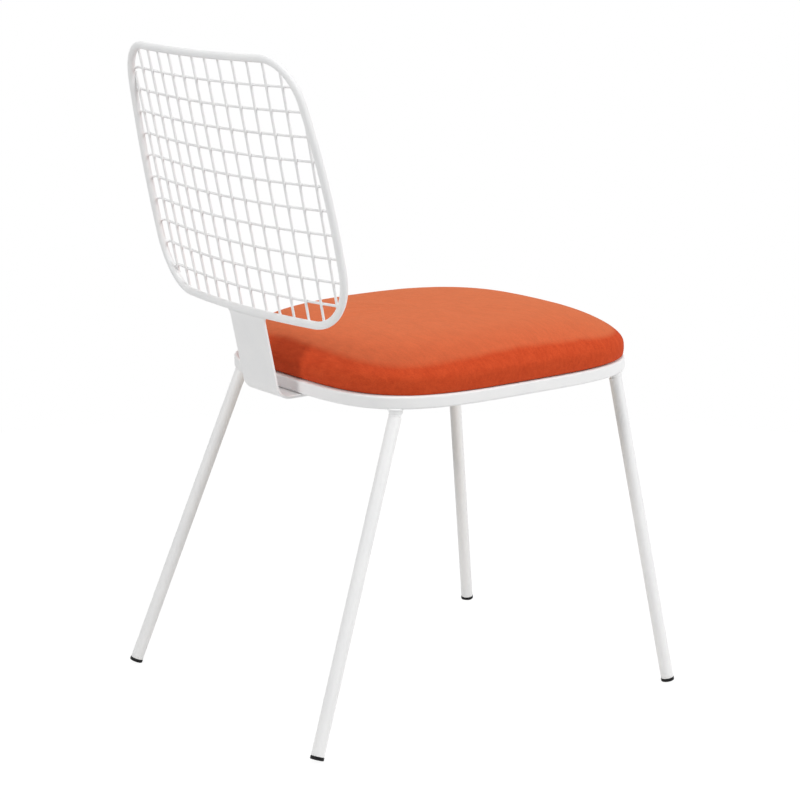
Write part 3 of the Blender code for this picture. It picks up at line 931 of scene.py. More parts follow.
@dataclass
class SeatFixings:
    """What holds the board in the ring: four welded tabs with a screw through each."""

    seat: SeatFrame
    ring: SeatRing
    gap: float = 0.0003
    tab_width: float = 0.030
    tab_reach: float = 0.026
    tab_thickness: float = 0.003
    tab_corner: float = 0.006
    tab_edge: float = 0.0005
    tab_edge_steps: int = 2
    tab_top: float = 0.0037
    tab_points: int = 48
    hole_radius: float = 0.0023
    screw: SocketScrew = SocketScrew(shank_radius=0.002, shank_top=0.012, head_radius=0.004, head_height=0.0024)
    weld_radius: float = 0.0014
    weld_margin: float = 0.003
    weld_points: int = 25
    weld_facets: int = 10

    def places(self) -> dict[str, Matrix]:
        """Give where each tab sits, its open end toward the middle of the seat.

        Returns:
            A matrix for each side of the seat.
        """
        inner = self.ring.bar_width + self.gap + self.tab_reach / 2
        spots = {
            "front": (0.0, inner - self.seat.depth / 2, 0.0),
            "rear": (0.0, self.seat.depth / 2 - inner, math.pi),
            "left": (self.seat.width / 2 - inner, 0.0, math.pi / 2),
            "right": (inner - self.seat.width / 2, 0.0, -math.pi / 2),
        }
        return {
            name: self.seat.matrix @ Matrix.Translation((x, y, 0.0)) @ Matrix.Rotation(angle, 4, "Z")
            for name, (x, y, angle) in spots.items()
        }

    def tab(self) -> Shape:
        """Cut one tab: a plate with a screw hole and two rounded corners.

        Returns:
            The plate's shape, its welded end toward -Y.
        """
        bm = bmesh.new()
        plate = bmesh.ops.create_circle(bm, segments=self.tab_points, radius=1.0)["verts"]
        for vert in plate:
            vert.co = self.tab_outline(math.atan2(vert.co.y, vert.co.x))
        hole = bmesh.ops.create_circle(bm, segments=self.tab_points, radius=self.hole_radius)["verts"]
        faces = bmesh.ops.bridge_loops(bm, edges=rim(plate) + rim(hole))["faces"]
        bmesh.ops.translate(bm, vec=(0.0, 0.0, self.tab_top), verts=bm.verts[:])
        grown = made(bmesh.ops.extrude_face_region(bm, geom=faces, use_keep_orig=True), Vert)
        bmesh.ops.translate(bm, vec=(0.0, 0.0, -self.tab_thickness), verts=grown)
        bmesh.ops.recalc_face_normals(bm, faces=bm.faces[:])
        level = [edge for edge in bm.edges if abs(edge.verts[0].co.z - edge.verts[1].co.z) < self.tab_edge]
        rims = [edge for edge in level if edge.calc_face_angle(0.0) > SHARP_ANGLE]
        soften(bm, rims, self.tab_edge, self.tab_edge_steps)
        return bm

    def tab_outline(self, angle: float) -> Vector:
        """Give a point on the tab's edge.

        Args:
            angle: Direction from the screw hole.

        Returns:
            The point on the plate's flat.
        """
        half = (self.tab_width / 2, self.tab_reach / 2)
        heading = Vector((math.cos(angle), math.sin(angle), 0.0))
        spot = heading * min(half[axis] / max(abs(heading[axis]), 1e-6) for axis in (0, 1))
        knee = Vector((half[0] - self.tab_corner, half[1] - self.tab_corner, 0.0))
        over = Vector((abs(spot.x), spot.y, 0.0)) - knee
        if over.x > 0.0 and over.y > 0.0:
            over = over.normalized() * self.tab_corner
            spot = Vector((math.copysign(knee.x + over.x, spot.x), knee.y + over.y, 0.0))
        return spot

    def build(self, shop: FinishShop) -> None:
        """Weld the tabs in, drive the screws and dress the board.

        Args:
            shop: Where the pieces are finished.
        """
        shop.dress("seat_board", Slot.BOARD)
        underside = self.tab_top - self.tab_thickness
        reach = self.tab_width / 2 - self.weld_margin
        for name, place in self.places().items():
            even_shading(shop.piece(f"tab_plate_{name}", moved(self.tab(), place), Slot.COAT, [f"seat_tab_{name}"]))
            screw = moved(self.screw.shape(underside - self.gap), place)
            shop.piece(f"tab_screw_{name}", screw, Slot.ZINC, [f"seat_screw_{name}"])
            along = [
                place @ Vector((x, -self.tab_reach / 2 + self.weld_radius / 3, underside))
                for x in np.linspace(-reach, reach, self.weld_points)
            ]
            bead = sweep(along, self.weld_radius, self.weld_facets, swell=ripple(self.weld_points))
            shop.piece(f"tab_weld_{name}", bead, Slot.COAT)


# ---------------------------------------------------------------- legs


@dataclass
class LegSet:
    """Four splayed tubes, each welded under the ring by a boss and closed by a foot cap."""

    seat: SeatFrame
    radius: float = 0.008
    wall: float = 0.0015
    rear_inset: Pair = (0.0402, 0.0495)
    rear_run: Pair = (0.0477, 0.1462)
    front_inset: Pair = (0.0386, 0.0518)
    front_run: Pair = (0.0438, 0.0609)
    gap: float = 0.0003
    boss_radius: float = 0.0082
    boss_height: float = 0.006
    boss_edge: float = 0.0005
    boss_edge_steps: int = 4
    boss_bite: float = 0.0012
    neck_radius: float = 0.0067
    spigot_length: float = 0.012
    cap_radius: float = 0.0084
    cap_height: float = 0.004
    cap_shoulder: float = 0.0003
    cap_edge: float = 0.001
    cap_edge_steps: int = 5
    cap_flat: float = 0.0006
    cap_groove: float = 0.0002
    plug_length: float = 0.018
    plug_lead: float = 0.001
    recess_radii: Pair = (0.0045, 0.0038)
    recess_depth: float = 0.0006
    seam_radius: float = 0.0016
    seam_thin: float = 0.75
    seam_points: int = 72
    weld_radius: float = 0.0005
    weld_span: float = 100.0
    weld_sink: float = 0.8
    weld_steps: int = 12
    weld_facets: int = 12
    rim_radius: float = 0.0004
    rim_steps: int = 3
    bar_probe: float = 0.05
    facets: int = 48

    @property
    def plug(self) -> float:
        """Radius of what is pushed into a tube."""
        return self.radius - self.wall - self.gap

    def axis(self, corner: Corner) -> tuple[Vector, Vector]:
        """Give the top and the foot of a leg's middle line.

        Args:
            corner: Which leg.

        Returns:
            The top point and the foot point.
        """
        _, side, end = corner.value
        inset, run = (self.rear_inset, self.rear_run) if end > 0 else (self.front_inset, self.front_run)
        x = self.seat.width / 2 - inset[0]
        y = self.seat.depth / 2 - inset[1]
        top = Vector((side * x, self.seat.centre_y + end * y, self.seat.underside_height))
        foot = Vector((side * (x + run[0]), self.seat.centre_y + end * (y + run[1]), 0.0))
        return top, foot

    def tube(self, length: float) -> Shape:
        """Turn a tube, cut square, with softened rims.

        Args:
            length: Height of its upper rim along the axis.

        Returns:
            The tube on the Z axis.
        """
        low = self.cap_height + self.gap
        bore = self.radius - self.wall
        middle = self.radius - self.rim_radius
        upper = round_corner((middle, length - self.rim_radius), self.rim_radius, 90, 0, self.rim_steps)
        lower = round_corner((middle, low + self.rim_radius), self.rim_radius, 0, -90, self.rim_steps)
        return turn([*upper, *lower, (bore, low), (bore, length)], self.facets, closed=True)

    def cap(self) -> Shape:
        """Turn a foot cap with its plug, its rounded sole and a parting groove.

        Returns:
            The cap on the Z axis.
        """
        top, side, edge = self.cap_height + self.plug_length, self.cap_radius, self.cap_edge
        bend = self.cap_shoulder
        middle = (self.cap_height + edge) / 2
        return turn([
            (0.0, top), (self.plug - self.plug_lead, top), (self.plug, top - self.plug_lead),
            (self.plug, self.cap_height),
            *round_corner((side - bend, self.cap_height - bend), bend, 90, 0, self.rim_steps),
            (side, middle + self.cap_groove), (side - self.cap_groove, middle), (side, middle - self.cap_groove),
            *round_corner((side - edge, edge), edge, 0, -90, self.cap_edge_steps),
            (self.recess_radii[0], 0.0), (self.recess_radii[1], self.recess_depth), (0.0, self.recess_depth),
        ], self.facets)

    def boss(self, place: Matrix, along: float) -> Shape:
        """Turn a boss with a rounded lower edge and lay its weld under the ring, heavier along the bar.

        Args:
            place: The boss's own frame, its top at the ring.
            along: Direction of the ring's bar in that frame.

        Returns:
            The boss in the chair's frame.
        """
        low, side, bend = -self.gap - self.boss_height, self.boss_radius, self.boss_edge
        edge = round_corner((side - bend, low + bend), bend, 0, -90, self.boss_edge_steps)
        boss = turn([(0.0, self.boss_bite), (side, self.boss_bite), *edge, (0.0, low)], self.facets)
        angles = [2 * math.pi * step / self.seam_points for step in range(self.seam_points)]
        line = [place @ Vector((side * math.cos(a), side * math.sin(a), 0.0)) for a in angles]
        swell = [self.seam_thin + (1 - self.seam_thin) * math.cos(a - along) ** 2 for a in angles]
        seam = sweep(line, self.seam_radius, self.weld_facets, closed=True, swell=swell)
        return join_shapes([moved(boss, place), seam])

    def spigot(self, place: Matrix, length: float, reach: float) -> Shape:
        """Turn the necked pin on which the tube is pushed up to its boss.

        Args:
            place: The leg's own frame.
            length: Height of the tube's upper rim along the axis.
            reach: How far the neck runs on above the rim.

        Returns:
            The pin in the chair's frame.
        """
        top, mouth, low = length + reach, length + self.gap, length - self.spigot_length
        neck, plug = self.neck_radius, self.plug
        profile = [(0.0, top), (neck, top), (neck, mouth), (plug, mouth), (plug, low), (0.0, low)]
        return moved(turn(profile, self.facets), place)

    def weld(self, end: Vector, axis: Vector, up: Vector) -> Shape:
        """Fill the narrow side of the joint between a square-cut tube and its boss.

        Args:
            end: Middle of the tube's upper rim.
            axis: Direction of the leg.
            up: Direction square to the boss's underside.

        Returns:
            The weld in the chair's frame.
        """
        lean = math.sqrt(1 - axis.dot(up) ** 2)
        high = (up - axis * axis.dot(up)).normalized()
        side = axis.cross(high)
        points, swell = [], []
        for step in range(-self.weld_steps, self.weld_steps + 1):
            turned = math.radians(self.weld_span * step / self.weld_steps)
            opening = self.gap + self.radius * lean * (1 - math.cos(turned))
            radius = opening / 2 + self.weld_radius
            spread = self.radius - self.weld_sink * radius
            points.append(end + spread * (math.cos(turned) * high + math.sin(turned) * side) + up * (opening / 2))
            swell.append(radius / self.weld_radius)
        return sweep(points, self.weld_radius, self.weld_facets, swell=swell)

    def build(self, shop: FinishShop) -> None:
        """Stand the four legs.

        Args:
            shop: Where the pieces are finished.
        """
        into_seat = self.seat.matrix.inverted()
        up = self.seat.matrix.to_3x3() @ Vector((0.0, 0.0, 1.0))
        under = -self.gap - self.boss_height
        for corner in Corner:
            name = corner.value[0]
            top, foot = self.axis(corner)
            axis = (top - foot).normalized()
            tilt = math.sqrt(1 - axis.z ** 2)
            rise = (self.cap_radius - self.cap_edge) * tilt + self.cap_edge * (1 - axis.z) - self.cap_flat
            heel = foot + axis * (rise / axis.z)
            place = stand(axis, heel)
            local_top, local_axis = into_seat @ top, into_seat.to_3x3() @ axis
            joint = local_top + local_axis * ((under - local_top.z) / local_axis.z)
            lean = math.sqrt(1 - local_axis.z ** 2) / local_axis.z
            length = (self.seat.matrix @ joint - heel).dot(axis) - self.radius * lean - self.gap / local_axis.z
            shop.piece(f"leg_tube_{name}", moved(self.tube(length), place), Slot.COAT, [f"leg_{name}"])
            self.press_cap(shop, name, place)
            heading = math.atan2(joint.y, joint.x)
            bar = self.seat.outline(heading + self.bar_probe) - self.seat.outline(heading - self.bar_probe)
            boss_place = self.seat.matrix @ Matrix.Translation((joint.x, joint.y, 0.0))
            joined = join_shapes([
                self.boss(boss_place, math.atan2(bar.y, bar.x)),
                self.spigot(place, length, 2 * self.radius * lean),
                self.weld(heel + axis * length, axis, up),
            ])
            shop.piece(f"boss_{name}", joined, Slot.COAT, [f"leg_boss_{name}"])

    def press_cap(self, shop: FinishShop, name: str, place: Matrix) -> None:
        """Press one cap into its tube and rub its sole flat on the floor.

        Args:
            shop: Where the piece is finished.
            name: Which leg.
            place: The leg's own frame.
        """
        cap = moved(self.cap(), place)
        bmesh.ops.bisect_plane(
            cap, geom=cap.verts[:] + cap.edges[:] + cap.faces[:], dist=MERGE_DISTANCE,
            plane_co=(0, 0, 0), plane_no=(0, 0, -1), clear_outer=True,
        )
        bmesh.ops.holes_fill(cap, edges=open_edges(cap), sides=0)
        shop.piece(f"foot_plug_{name}", cap, Slot.PLASTIC, [f"foot_cap_{name}"])


# ---------------------------------------------------------------- back


@dataclass
class WireBack:
    """The back: a closed bent rod with a grid of upright and cross wires welded in it."""

    datum_y: float = 0.23526
    datum_height: float = 0.620
    recline: float = math.radians(11.87)
    bend_radius: float = 1.367
    width: float = 0.4344
    rise: float = 0.1925
    drop: float = 0.1237
    bow_radius: float = 0.835
    bow_drop: float = 0.020
    top_corner: float = 0.062
    low_corner: float = 0.070
    rod_radius: float = 0.00475
    rod_setback: float = 0.0044
    rod_facets: int = 28
    rod_steps: tuple[int, int, int] = (24, 32, 40)
    rod_line_steps: tuple[int, int, int] = (200, 400, 400)
    uprights: int = 14
    upright_radius: float = 0.0016
    upright_steps: int = 6
    side_margin: float = 0.0248
    fan: float = 0.13
    crosses: int = 10
    cross_radius: float = 0.0016
    cross_forward: float = 0.0037
    cross_steps: int = 24
    top_margin: float = 0.0337
    low_margin: float = 0.0251
    hook_run: float = 0.0052
    hook_radius: float = 0.003
    hook_steps: int = 8
    wire_facets: int = 16
    reach_steps: int = 400
    reach_share: float = 0.5
    reach_least: float = 0.00001
    touch: float = 0.00002
    bead_run: float = 0.0022
    bead_flare: float = 0.0009
    bead_waist: Pair = (0.35, 0.4)
    bead_sink: float = 0.4
    bead_facets: int = 10
    nugget_size: Triple = (0.0016, 0.0016, 0.0011)
    nugget_facets: tuple[int, int] = (8, 4)
    rod_line: KDTree = field(init=False, repr=False)
    half_line: list[Pair] = field(init=False, repr=False)

    def __post_init__(self) -> None:
        """Draw the rod's flat pattern once and keep its middle line for the wire ends."""
        self.half_line = self.half_outline(*self.rod_steps)
        dense = self.half_outline(*self.rod_line_steps)
        whole = dense + [(-across, rise) for across, rise in dense]
        self.rod_line = KDTree(len(whole))
        for index, (across, rise) in enumerate(whole):
            self.rod_line.insert((across, rise, -self.rod_setback), index)
        self.rod_line.balance()

    def point(self, across: float, rise: float, forward: float) -> Vector:
        """Place a point of the flat pattern on the bent and reclined back.

        Args:
            across: Run along the back from its middle.
            rise: Height up the back from its datum.
            forward: Distance in front of the back's face.

        Returns:
            The point on the chair.
        """
        turned = across / self.bend_radius
        reach = self.bend_radius - forward
        depth = self.bend_radius - reach * math.cos(turned)
        lean, up = math.sin(self.recline), math.cos(self.recline)
        return Vector((
            reach * math.sin(turned),
            self.datum_y + rise * lean - depth * up,
            self.datum_height + rise * up + depth * lean,
        ))

    def corner(self, level: float, radius: float, side: int) -> Pair:
        """Find the centre of a bend between a straight rail and the bowed side.

        Args:
            level: Height of the rail.
            radius: Radius of the bend.
            side: 1 at the top rail, -1 at the lower one.

        Returns:
            The centre across and up the flat pattern.
        """
        height = level - side * radius
        run = math.sqrt((self.bow_radius - radius) ** 2 - (height + self.bow_drop) ** 2)
        return self.width / 2 - self.bow_radius + run, height

    def half_outline(self, bend_steps: int, side_steps: int, rail_steps: int) -> list[Pair]:
        """Draw half of the rod's flat pattern from bottom middle up to top middle.

        Args:
            bend_steps: Steps round each corner.
            side_steps: Steps up the bowed side.
            rail_steps: Steps along each half rail.

        Returns:
            Across and rise pairs.
        """
        top = self.corner(self.rise, self.top_corner, 1)
        low = self.corner(-self.drop, self.low_corner, -1)
        bow = self.width / 2 - self.bow_radius
        low_angle, top_angle = (
            math.degrees(math.atan2(centre[1] + self.bow_drop, centre[0] - bow)) for centre in (low, top)
        )
        points = [(low[0] * step / rail_steps, -self.drop) for step in range(rail_steps)]
        points += round_corner(low, self.low_corner, -90, low_angle, bend_steps)[:-1]
        points += round_corner((bow, -self.bow_drop), self.bow_radius, low_angle, top_angle, side_steps)[:-1]
        points += round_corner(top, self.top_corner, top_angle, 90, bend_steps)[:-1]
        return points + [(top[0] * (1 - step / rail_steps), self.rise) for step in range(rail_steps + 1)]

    def rod_half_width(self, rise: float) -> float:
        """Give the half width of the rod's flat pattern at a height."""
        return float(np.interp(rise, [spot[1] for spot in self.half_line], [spot[0] for spot in self.half_line]))

    def reach(self, start: Vector, heading: Vector) -> Vector:
        """Run a wire on until its middle line meets the rod's surface.

        Args:
            start: Where the run starts in the flat pattern.
            heading: Its direction.

        Returns:
            The wire's end in the flat pattern.
        """
        heading = heading.normalized()
        spot = start.copy()
        for _ in range(self.reach_steps):
            clear = self.rod_line.find(spot)[2] - self.rod_radius
            if clear < self.touch:
                break
            spot = spot + heading * max(clear * self.reach_share, self.reach_least)
        return spot

    def upright_across(self, index: int, rise: float) -> float:
        """Give where an upright stands across the back at a height."""
        pitch = (self.width - 2 * self.side_margin) / (self.uprights - 1)
        return ((self.uprights - 1) / 2 - index) * pitch * (1 + self.fan * rise)

    def upright_ends(self, index: int) -> tuple[Vector, Vector]:
        """Give the lower and the upper end of an upright in the flat pattern.

        Args:
            index: Which upright, counted from the left.

        Returns:
            The two ends.
        """
        foot = self.upright_across(index, 0.0)
        lean = self.upright_across(index, 1.0) - foot
        start = Vector((foot, 0.0, 0.0))
        return self.reach(start, Vector((-lean, -1.0, 0.0))), self.reach(start, Vector((lean, 1.0, 0.0)))

    def cross_rise(self, index: int) -> float:
        """Give the height of a cross wire, counted from the top."""
        pitch = (self.rise + self.drop - self.top_margin - self.low_margin) / (self.crosses - 1)
        return self.rise - self.top_margin - index * pitch

    def cross_half(self, rise: float, span: Pair) -> list[Vector]:
        """Lay out half of a cross wire from the middle to its hooked end.

        Args:
            rise: Height of the wire.
            span: Lowest and highest rise of the outermost upright.

        Returns:
            The wire's points in the flat pattern.
        """
        side = self.rod_half_width(rise)
        knee = side - self.hook_run
        if span[0] - self.cross_radius < rise < span[1] + self.cross_radius:
            outer = self.upright_across(0, rise) + self.upright_radius + self.cross_radius / 2
            knee = min(side, max(knee, outer))
        bend = math.atan2(self.cross_forward + self.rod_setback, side - knee)
        begin = knee - self.hook_radius * math.tan(bend / 2)
        steps = range(self.cross_steps)
        points = [Vector((begin * step / self.cross_steps, rise, self.cross_forward)) for step in steps]
        for angle in (bend * step / self.hook_steps for step in range(self.hook_steps + 1)):
            drawn = self.cross_forward - self.hook_radius * (1 - math.cos(angle))
            points.append(Vector((begin + self.hook_radius * math.sin(angle), rise, drawn)))
        points.append(self.reach(points[-1], Vector((math.cos(bend), 0.0, -math.sin(bend)))))
        return points

    def bead(self, end: Vector, before: Vector, radius: float) -> Shape:
        """Shape the small weld where a wire runs into the rod.

        Args:
            end: The wire's end on the chair.
            before: A point further back along the wire.
            radius: The wire's radius.

        Returns:
            The weld's shape.
        """
        run, waist = self.bead_run, radius + self.bead_flare * self.bead_waist[0]
        profile = [
            (0.0, 0.0), (radius + self.bead_flare, 0.0), (waist, run * self.bead_waist[1]), (radius, run), (0.0, run),
        ]
        into = (before - end).normalized()
        return moved(turn(profile, self.bead_facets), stand(into, end - into * radius * self.bead_sink))

    def nugget(self, place: Vector, out: Vector) -> Shape:
        """Shape the small weld where two wires cross.

        Args:
            place: Middle of the crossing.
            out: Direction out of the back's face.

        Returns:
            The weld's shape.
        """
        shape = bmesh.new()
        around, over = self.nugget_facets
        bmesh.ops.create_uvsphere(shape, u_segments=around, v_segments=over, radius=1.0)
        bmesh.ops.scale(shape, vec=self.nugget_size, verts=shape.verts[:])
        return moved(shape, stand(out, place))

    def crossings(self, spans: Sequence[tuple[Vector, Vector]]) -> Iterable[Shape]:
        """Shape the weld at every crossing of the grid.

        Args:
            spans: Lower and upper end of each upright.

        Returns:
            One shape for each crossing.
        """
        between = (self.upright_radius + self.cross_forward - self.cross_radius) / 2
        for index, (low, top) in enumerate(spans):
            for rise in map(self.cross_rise, range(self.crosses)):
                if low.y < rise < top.y:
                    across = self.upright_across(index, rise)
                    place = self.point(across, rise, between)
                    yield self.nugget(place, self.point(across, rise, 2 * between) - place)

    def lay(self, shop: FinishShop, kind: str, index: int, flat: Iterable[Vector], radius: float) -> list[Shape]:
        """Lay one wire.

        Args:
            shop: Where the wire is finished.
            kind: Which way it runs.
            index: Its place among its kind.
            flat: Its points in the flat pattern.
            radius: Its radius.

        Returns:
            The welds at its two ends.
        """
        line = [self.point(*spot) for spot in flat]
        number = f"{index + 1:02d}"
        wire = sweep(line, radius, self.wire_facets)
        shop.piece(f"grid_{kind}_{number}", wire, Slot.COAT, [f"{kind}_wire_{number}"])
        return [self.bead(line[0], line[1], radius), self.bead(line[-1], line[-2], radius)]

    def build(self, shop: FinishShop) -> None:
        """Bend the rod, lay the wires and weld them.

        Args:
            shop: Where the pieces are finished.
        """
        flat = self.half_line + [(-across, rise) for across, rise in self.half_line[-2:0:-1]]
        rod = [self.point(*spot, -self.rod_setback) for spot in flat]
        shop.piece("back_rod", sweep(rod, self.rod_radius, self.rod_facets, closed=True), Slot.COAT, ["back_frame"])
        spans = [self.upright_ends(index) for index in range(self.uprights)]
        ends: list[Shape] = []
        for index, (low, top) in enumerate(spans):
            line = [low.lerp(top, step / self.upright_steps) for step in range(self.upright_steps + 1)]
            ends += self.lay(shop, "upright", index, line, self.upright_radius)
        for index in range(self.crosses):
            half = self.cross_half(self.cross_rise(index), (spans[0][0].y, spans[0][1].y))
            line = [Vector((-spot.x, spot.y, spot.z)) for spot in half[:0:-1]] + half
            ends += self.lay(shop, "cross", index, line, self.cross_radius)
        shop.piece("wire_end_welds", join_shapes(ends), Slot.COAT)
        shop.piece("crossing_welds", join_shapes(self.crossings(spans)), Slot.COAT)


@dataclass
class BackBracket:
    """The folded plate that carries the back, welded to its rail and bolted under the ring."""

    seat: SeatFrame
    ring: SeatRing
    back: WireBack
    gap: float = 0.0003
    width: float = 0.080
    thickness: float = 0.003
    bend_radius: float = 0.018
    bend_steps: int = 16
    flare: float = 0.004
    flare_height: float = 0.008
    flare_steps: int = 8
    edge_radius: float = 0.0006
    edge_steps: int = 3
    edge_angle: float = math.radians(50)
    tab_corner: float = 0.005
    tab_corner_steps: int = 5
    weld_radius: float = 0.0012
    weld_margin: float = 0.001
    weld_proud: float = 0.3
    weld_rise: float = 0.98
    weld_points: int = 61
    weld_facets: int = 10
    bolt_spacing: float = 0.040
    bolt: SocketScrew = SocketScrew(shank_radius=0.003, shank_top=0.010, head_radius=0.0055, head_height=0.0032)

    def build(self, shop: FinishShop) -> None:
        """Fold the plate, weld it to the rail and bolt it to the ring.

        Args:
            shop: Where the pieces are finished.
        """
        plate = shop.piece("bracket_plate", self.fold(), Slot.COAT, ["back_bracket"])
        thick = plate.modifiers.new("thickness", "SOLIDIFY")
        thick.thickness = self.thickness
        thick.offset = 0.0
        thick.use_even_offset = True
        soft = plate.modifiers.new("soft_edges", "BEVEL")
        soft.width = self.edge_radius
        soft.segments = self.edge_steps
        soft.limit_method = "ANGLE"
        soft.angle_limit = self.edge_angle
        even_shading(plate)
        head_top = -self.gap - self.thickness - self.gap
        along = self.seat.depth / 2 - self.ring.bar_width / 2
        for name, side in (("left", 1), ("right", -1)):
            place = self.seat.matrix @ Matrix.Translation((side * self.bolt_spacing / 2, along, 0.0))
            bolt = moved(self.bolt.shape(head_top), place)
            shop.piece(f"ring_bolt_{name}", bolt, Slot.ZINC, [f"bracket_bolt_{name}"])
        self.weld(shop)

    def fold(self) -> Shape:
        """Run the plate's middle face down from the rail, round its bend and under the ring.

        Returns:
            The middle face of the plate.
        """
        back, middle = self.back, self.thickness / 2
        top = back.point(0.0, -back.drop - back.rod_radius, middle - back.rod_setback)
        down = Vector((0.0, -math.sin(back.recline), -math.cos(back.recline)))
        end = self.seat.matrix @ Vector((0.0, self.seat.depth / 2 - self.ring.bar_width, -self.gap - middle))
        forward = self.seat.matrix.to_3x3() @ Vector((0.0, -1.0, 0.0))
        gap = end - top
        drop = (gap.z * forward.y - gap.y * forward.z) / (forward.y * down.z - forward.z * down.y)
        turned = down.angle(forward)
        begin = top + (drop - self.bend_radius * math.tan(turned / 2)) * down
        inward = (forward - forward.dot(down) * down).normalized()
        bm = bmesh.new()
        half = self.width / 2 + self.flare
        edges = [bm.edges.new([bm.verts.new((side * half, top.y, top.z)) for side in (-1, 1)])]
        for step in range(1, self.flare_steps + 1):
            narrow = self.width / 2 + self.flare * (1 - step / self.flare_steps) ** 2
            edges = self.extend(bm, edges, down * (self.flare_height / self.flare_steps), narrow / half)
            half = narrow
        edges = self.extend(bm, edges, begin - top - down * self.flare_height)
        bent = bmesh.ops.spin(
            bm, geom=edges + [vert for edge in edges for vert in edge.verts],
            cent=begin + self.bend_radius * inward, axis=down.cross(forward).normalized(), dvec=(0, 0, 0),
            angle=turned, steps=self.bend_steps, use_merge=False, use_duplicate=False,
        )
        edges = [
            edge for edge in made(bent, Edge)
            if edge.is_boundary and abs(edge.verts[0].co.x - edge.verts[1].co.x) > half
        ]
        tail = edges[0].verts[0].co
        edges = self.extend(bm, edges, Vector((0.0, end.y - tail.y, end.z - tail.z)))
        soften(bm, list(edges[0].verts), self.tab_corner, self.tab_corner_steps, "VERTICES")
        return bm

    def extend(self, bm: Shape, edges: Sequence[Edge], step: Vector, widen: float = 1.0) -> list[Edge]:
        """Run a plate on from its open edge.

        Args:
            bm: The plate.
            edges: Its open edge.
            step: How far it runs on.
            widen: Factor on its width.

        Returns:
            The new open edge.
        """
        grown = bmesh.ops.extrude_edge_only(bm, edges=list(edges))
        verts = made(grown, Vert)
        bmesh.ops.translate(bm, vec=step, verts=verts)
        bmesh.ops.scale(bm, vec=(widen, 1.0, 1.0), verts=verts)
        return [edge for edge in made(grown, Edge) if all(vert in verts for vert in edge.verts)]

    def weld(self, shop: FinishShop) -> None:
        """Lay a fine bead on both faces where the plate meets the rail.

        Args:
            shop: Where the piece is finished.
        """
        back, middle = self.back, self.thickness / 2
        level = -back.drop - back.rod_radius * self.weld_rise
        reach = self.width / 2 + self.flare - self.weld_margin
        beads = []
        for side in (-1, 1):
            forward = side * (middle + self.weld_radius * self.weld_proud) + middle - back.rod_setback
            line = [back.point(across, level, forward) for across in np.linspace(-reach, reach, self.weld_points)]
            beads.append(sweep(line, self.weld_radius, self.weld_facets, swell=ripple(self.weld_points)))
        shop.piece("bracket_welds", join_shapes(beads), Slot.COAT)


# ---------------------------------------------------------------- stage


@dataclass(frozen=True)
class Lamp:
    """One soft box."""

    name: str
    place: Triple
    aim: Triple
    size: float
    watts: float

    def hang(self) -> None:
        """Hang the soft box and turn it to its aim."""
        data = bpy.data.lights.new(self.name, "AREA")
        data.shape = "SQUARE"
        data.size = self.size
        data.energy = self.watts
        item = show(self.name, data)
        item.location = self.place
        item.rotation_euler = (Vector(self.aim) - Vector(self.place)).to_track_quat("-Z", "Y").to_euler()


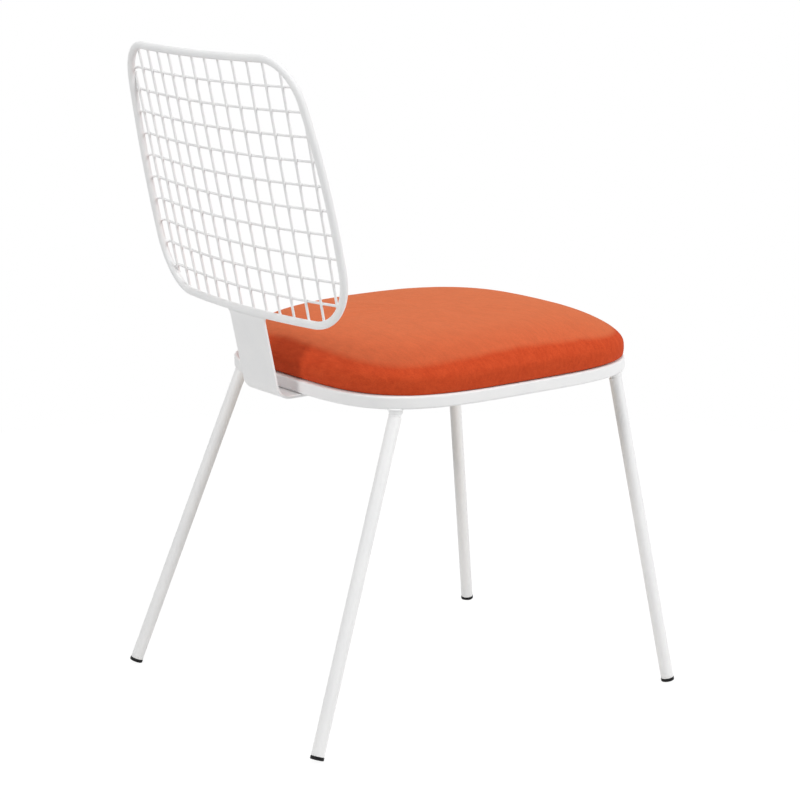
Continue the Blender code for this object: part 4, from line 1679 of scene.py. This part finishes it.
@dataclass
class Stage:
    """The white floor, the soft light and the camera."""

    camera_place: Triple = (-2.5293, 1.68126, 1.0000)
    camera_pitch: float = 90 - 11.8886 + 0.0117
    camera_heading: float = 236.2047 + 0.0117
    camera_depth: float = 200.0
    lens: float = 110.33
    sensor: float = 36.0
    floor_radius: float = 1.6
    floor_sides: int = 64
    floor_sink: float = 0.0004
    floor_white: float = 0.88
    floor_glow: float = 1.07
    floor_tone: float = 0.91
    ambient: float = 0.25
    lamps: tuple[Lamp, ...] = (
        Lamp("key_box", (-2.45, -1.85, 2.35), (0.0, 0.0, 0.40), 1.6, 61.0),
        Lamp("side_box", (-2.85, -1.20, 1.60), (0.0, 0.0, 0.40), 2.2, 13.0),
        Lamp("rear_box", (-0.50, 3.00, 2.10), (0.0, 0.0, 0.45), 0.8, 41.0),
        Lamp("top_box", (0.0, 0.20, 3.60), (0.0, 0.0, 0.45), 2.4, 39.0),
    )

    def seen_directly(self, tree: bpy.types.NodeTree) -> Socket:
        """Tell rays that see a surface directly, in a mirror or through glass from rays that carry light.

        Args:
            tree: The node tree that asks.

        Returns:
            The share's output socket.
        """
        path = add_node(tree, "LightPath", {}).outputs
        share = path["Is Camera Ray"]
        for name in ("Is Glossy Ray", "Is Transmission Ray"):
            share = add_node(tree, "Math", {0: share, 1: path[name]}, operation="MAXIMUM").outputs[0]
        return share

    def build_floor(self) -> None:
        """Lay the floor, white to the eye, with the chair's shadow kept on it."""
        bm = bmesh.new()
        bmesh.ops.create_circle(bm, cap_ends=True, segments=self.floor_sides, radius=self.floor_radius)
        data = settle("floor", moved(bm, Matrix.Translation((0.0, 0.0, -self.floor_sink))))
        paint = bpy.data.materials.new("floor_white")
        paint.use_nodes = True
        tree = paint.node_tree
        tree.nodes.clear()
        seen = self.seen_directly(tree)
        tone = add_node(tree, "MapRange", {"Value": seen, "To Min": self.floor_tone}).outputs["Result"]
        matt = add_node(tree, "BsdfDiffuse", {"Color": tone}).outputs["BSDF"]
        glow = add_node(tree, "Emission", {"Strength": self.floor_glow}).outputs["Emission"]
        part = add_node(tree, "Math", {0: seen, 1: self.floor_white}, operation="MULTIPLY").outputs[0]
        mix = add_node(tree, "MixShader", {"Fac": part, 1: matt, 2: glow}).outputs["Shader"]
        add_node(tree, "OutputMaterial", {"Surface": mix})
        data.materials.append(paint)
        floor = show("floor", data)

    def build_world(self) -> None:
        """Fill the room with even white light."""
        world = bpy.data.worlds.new("studio")
        world.use_nodes = True
        tree = world.node_tree
        tree.nodes.clear()
        white = (*PLAIN, 1.0)
        fill_light = add_node(tree, "Background", {"Color": white, "Strength": self.ambient}).outputs["Background"]
        backdrop = add_node(tree, "Background", {"Color": white}).outputs["Background"]
        seen = self.seen_directly(tree)
        mix = add_node(tree, "MixShader", {"Fac": seen, 1: fill_light, 2: backdrop}).outputs["Shader"]
        add_node(tree, "OutputWorld", {"Surface": mix})
        bpy.context.scene.world = world

    def build(self) -> None:
        """Set up the floor, the light and the camera."""
        self.build_floor()
        self.build_world()
        for lamp in self.lamps:
            lamp.hang()
        data = bpy.data.cameras.new("camera")
        data.lens = self.lens
        data.sensor_width = self.sensor
        data.clip_end = self.camera_depth
        item = show("camera", data)
        item.location = self.camera_place
        item.rotation_euler = (math.radians(self.camera_pitch), 0.0, math.radians(self.camera_heading))
        bpy.context.scene.camera = item
        bpy.context.scene.view_settings.view_transform = "Standard"


def clear_room() -> None:
    """Remove what the opened file holds beside the chair's own solids."""
    for item in list(bpy.data.objects):
        if item not in frame["nodes"].values() and item not in frame["bodies"].values():
            bpy.data.objects.remove(item, do_unlink=True)


def main() -> None:
    """Build the chair's pieces in order, then the stage."""
    logging.basicConfig(level=logging.INFO, format="%(name)s %(message)s")
    clear_room()
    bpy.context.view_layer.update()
    shop = FinishShop.open()
    seat = SeatFrame()
    ring = SeatRing(seat)
    back = WireBack()
    ring.build(shop)
    SeatFixings(seat, ring).build(shop)
    LegSet(seat).build(shop)
    back.build(shop)
    BackBracket(seat, ring, back).build(shop)
    SeatPad(seat).build(shop)
    Stage().build()


if __name__ == "__main__":
    main()
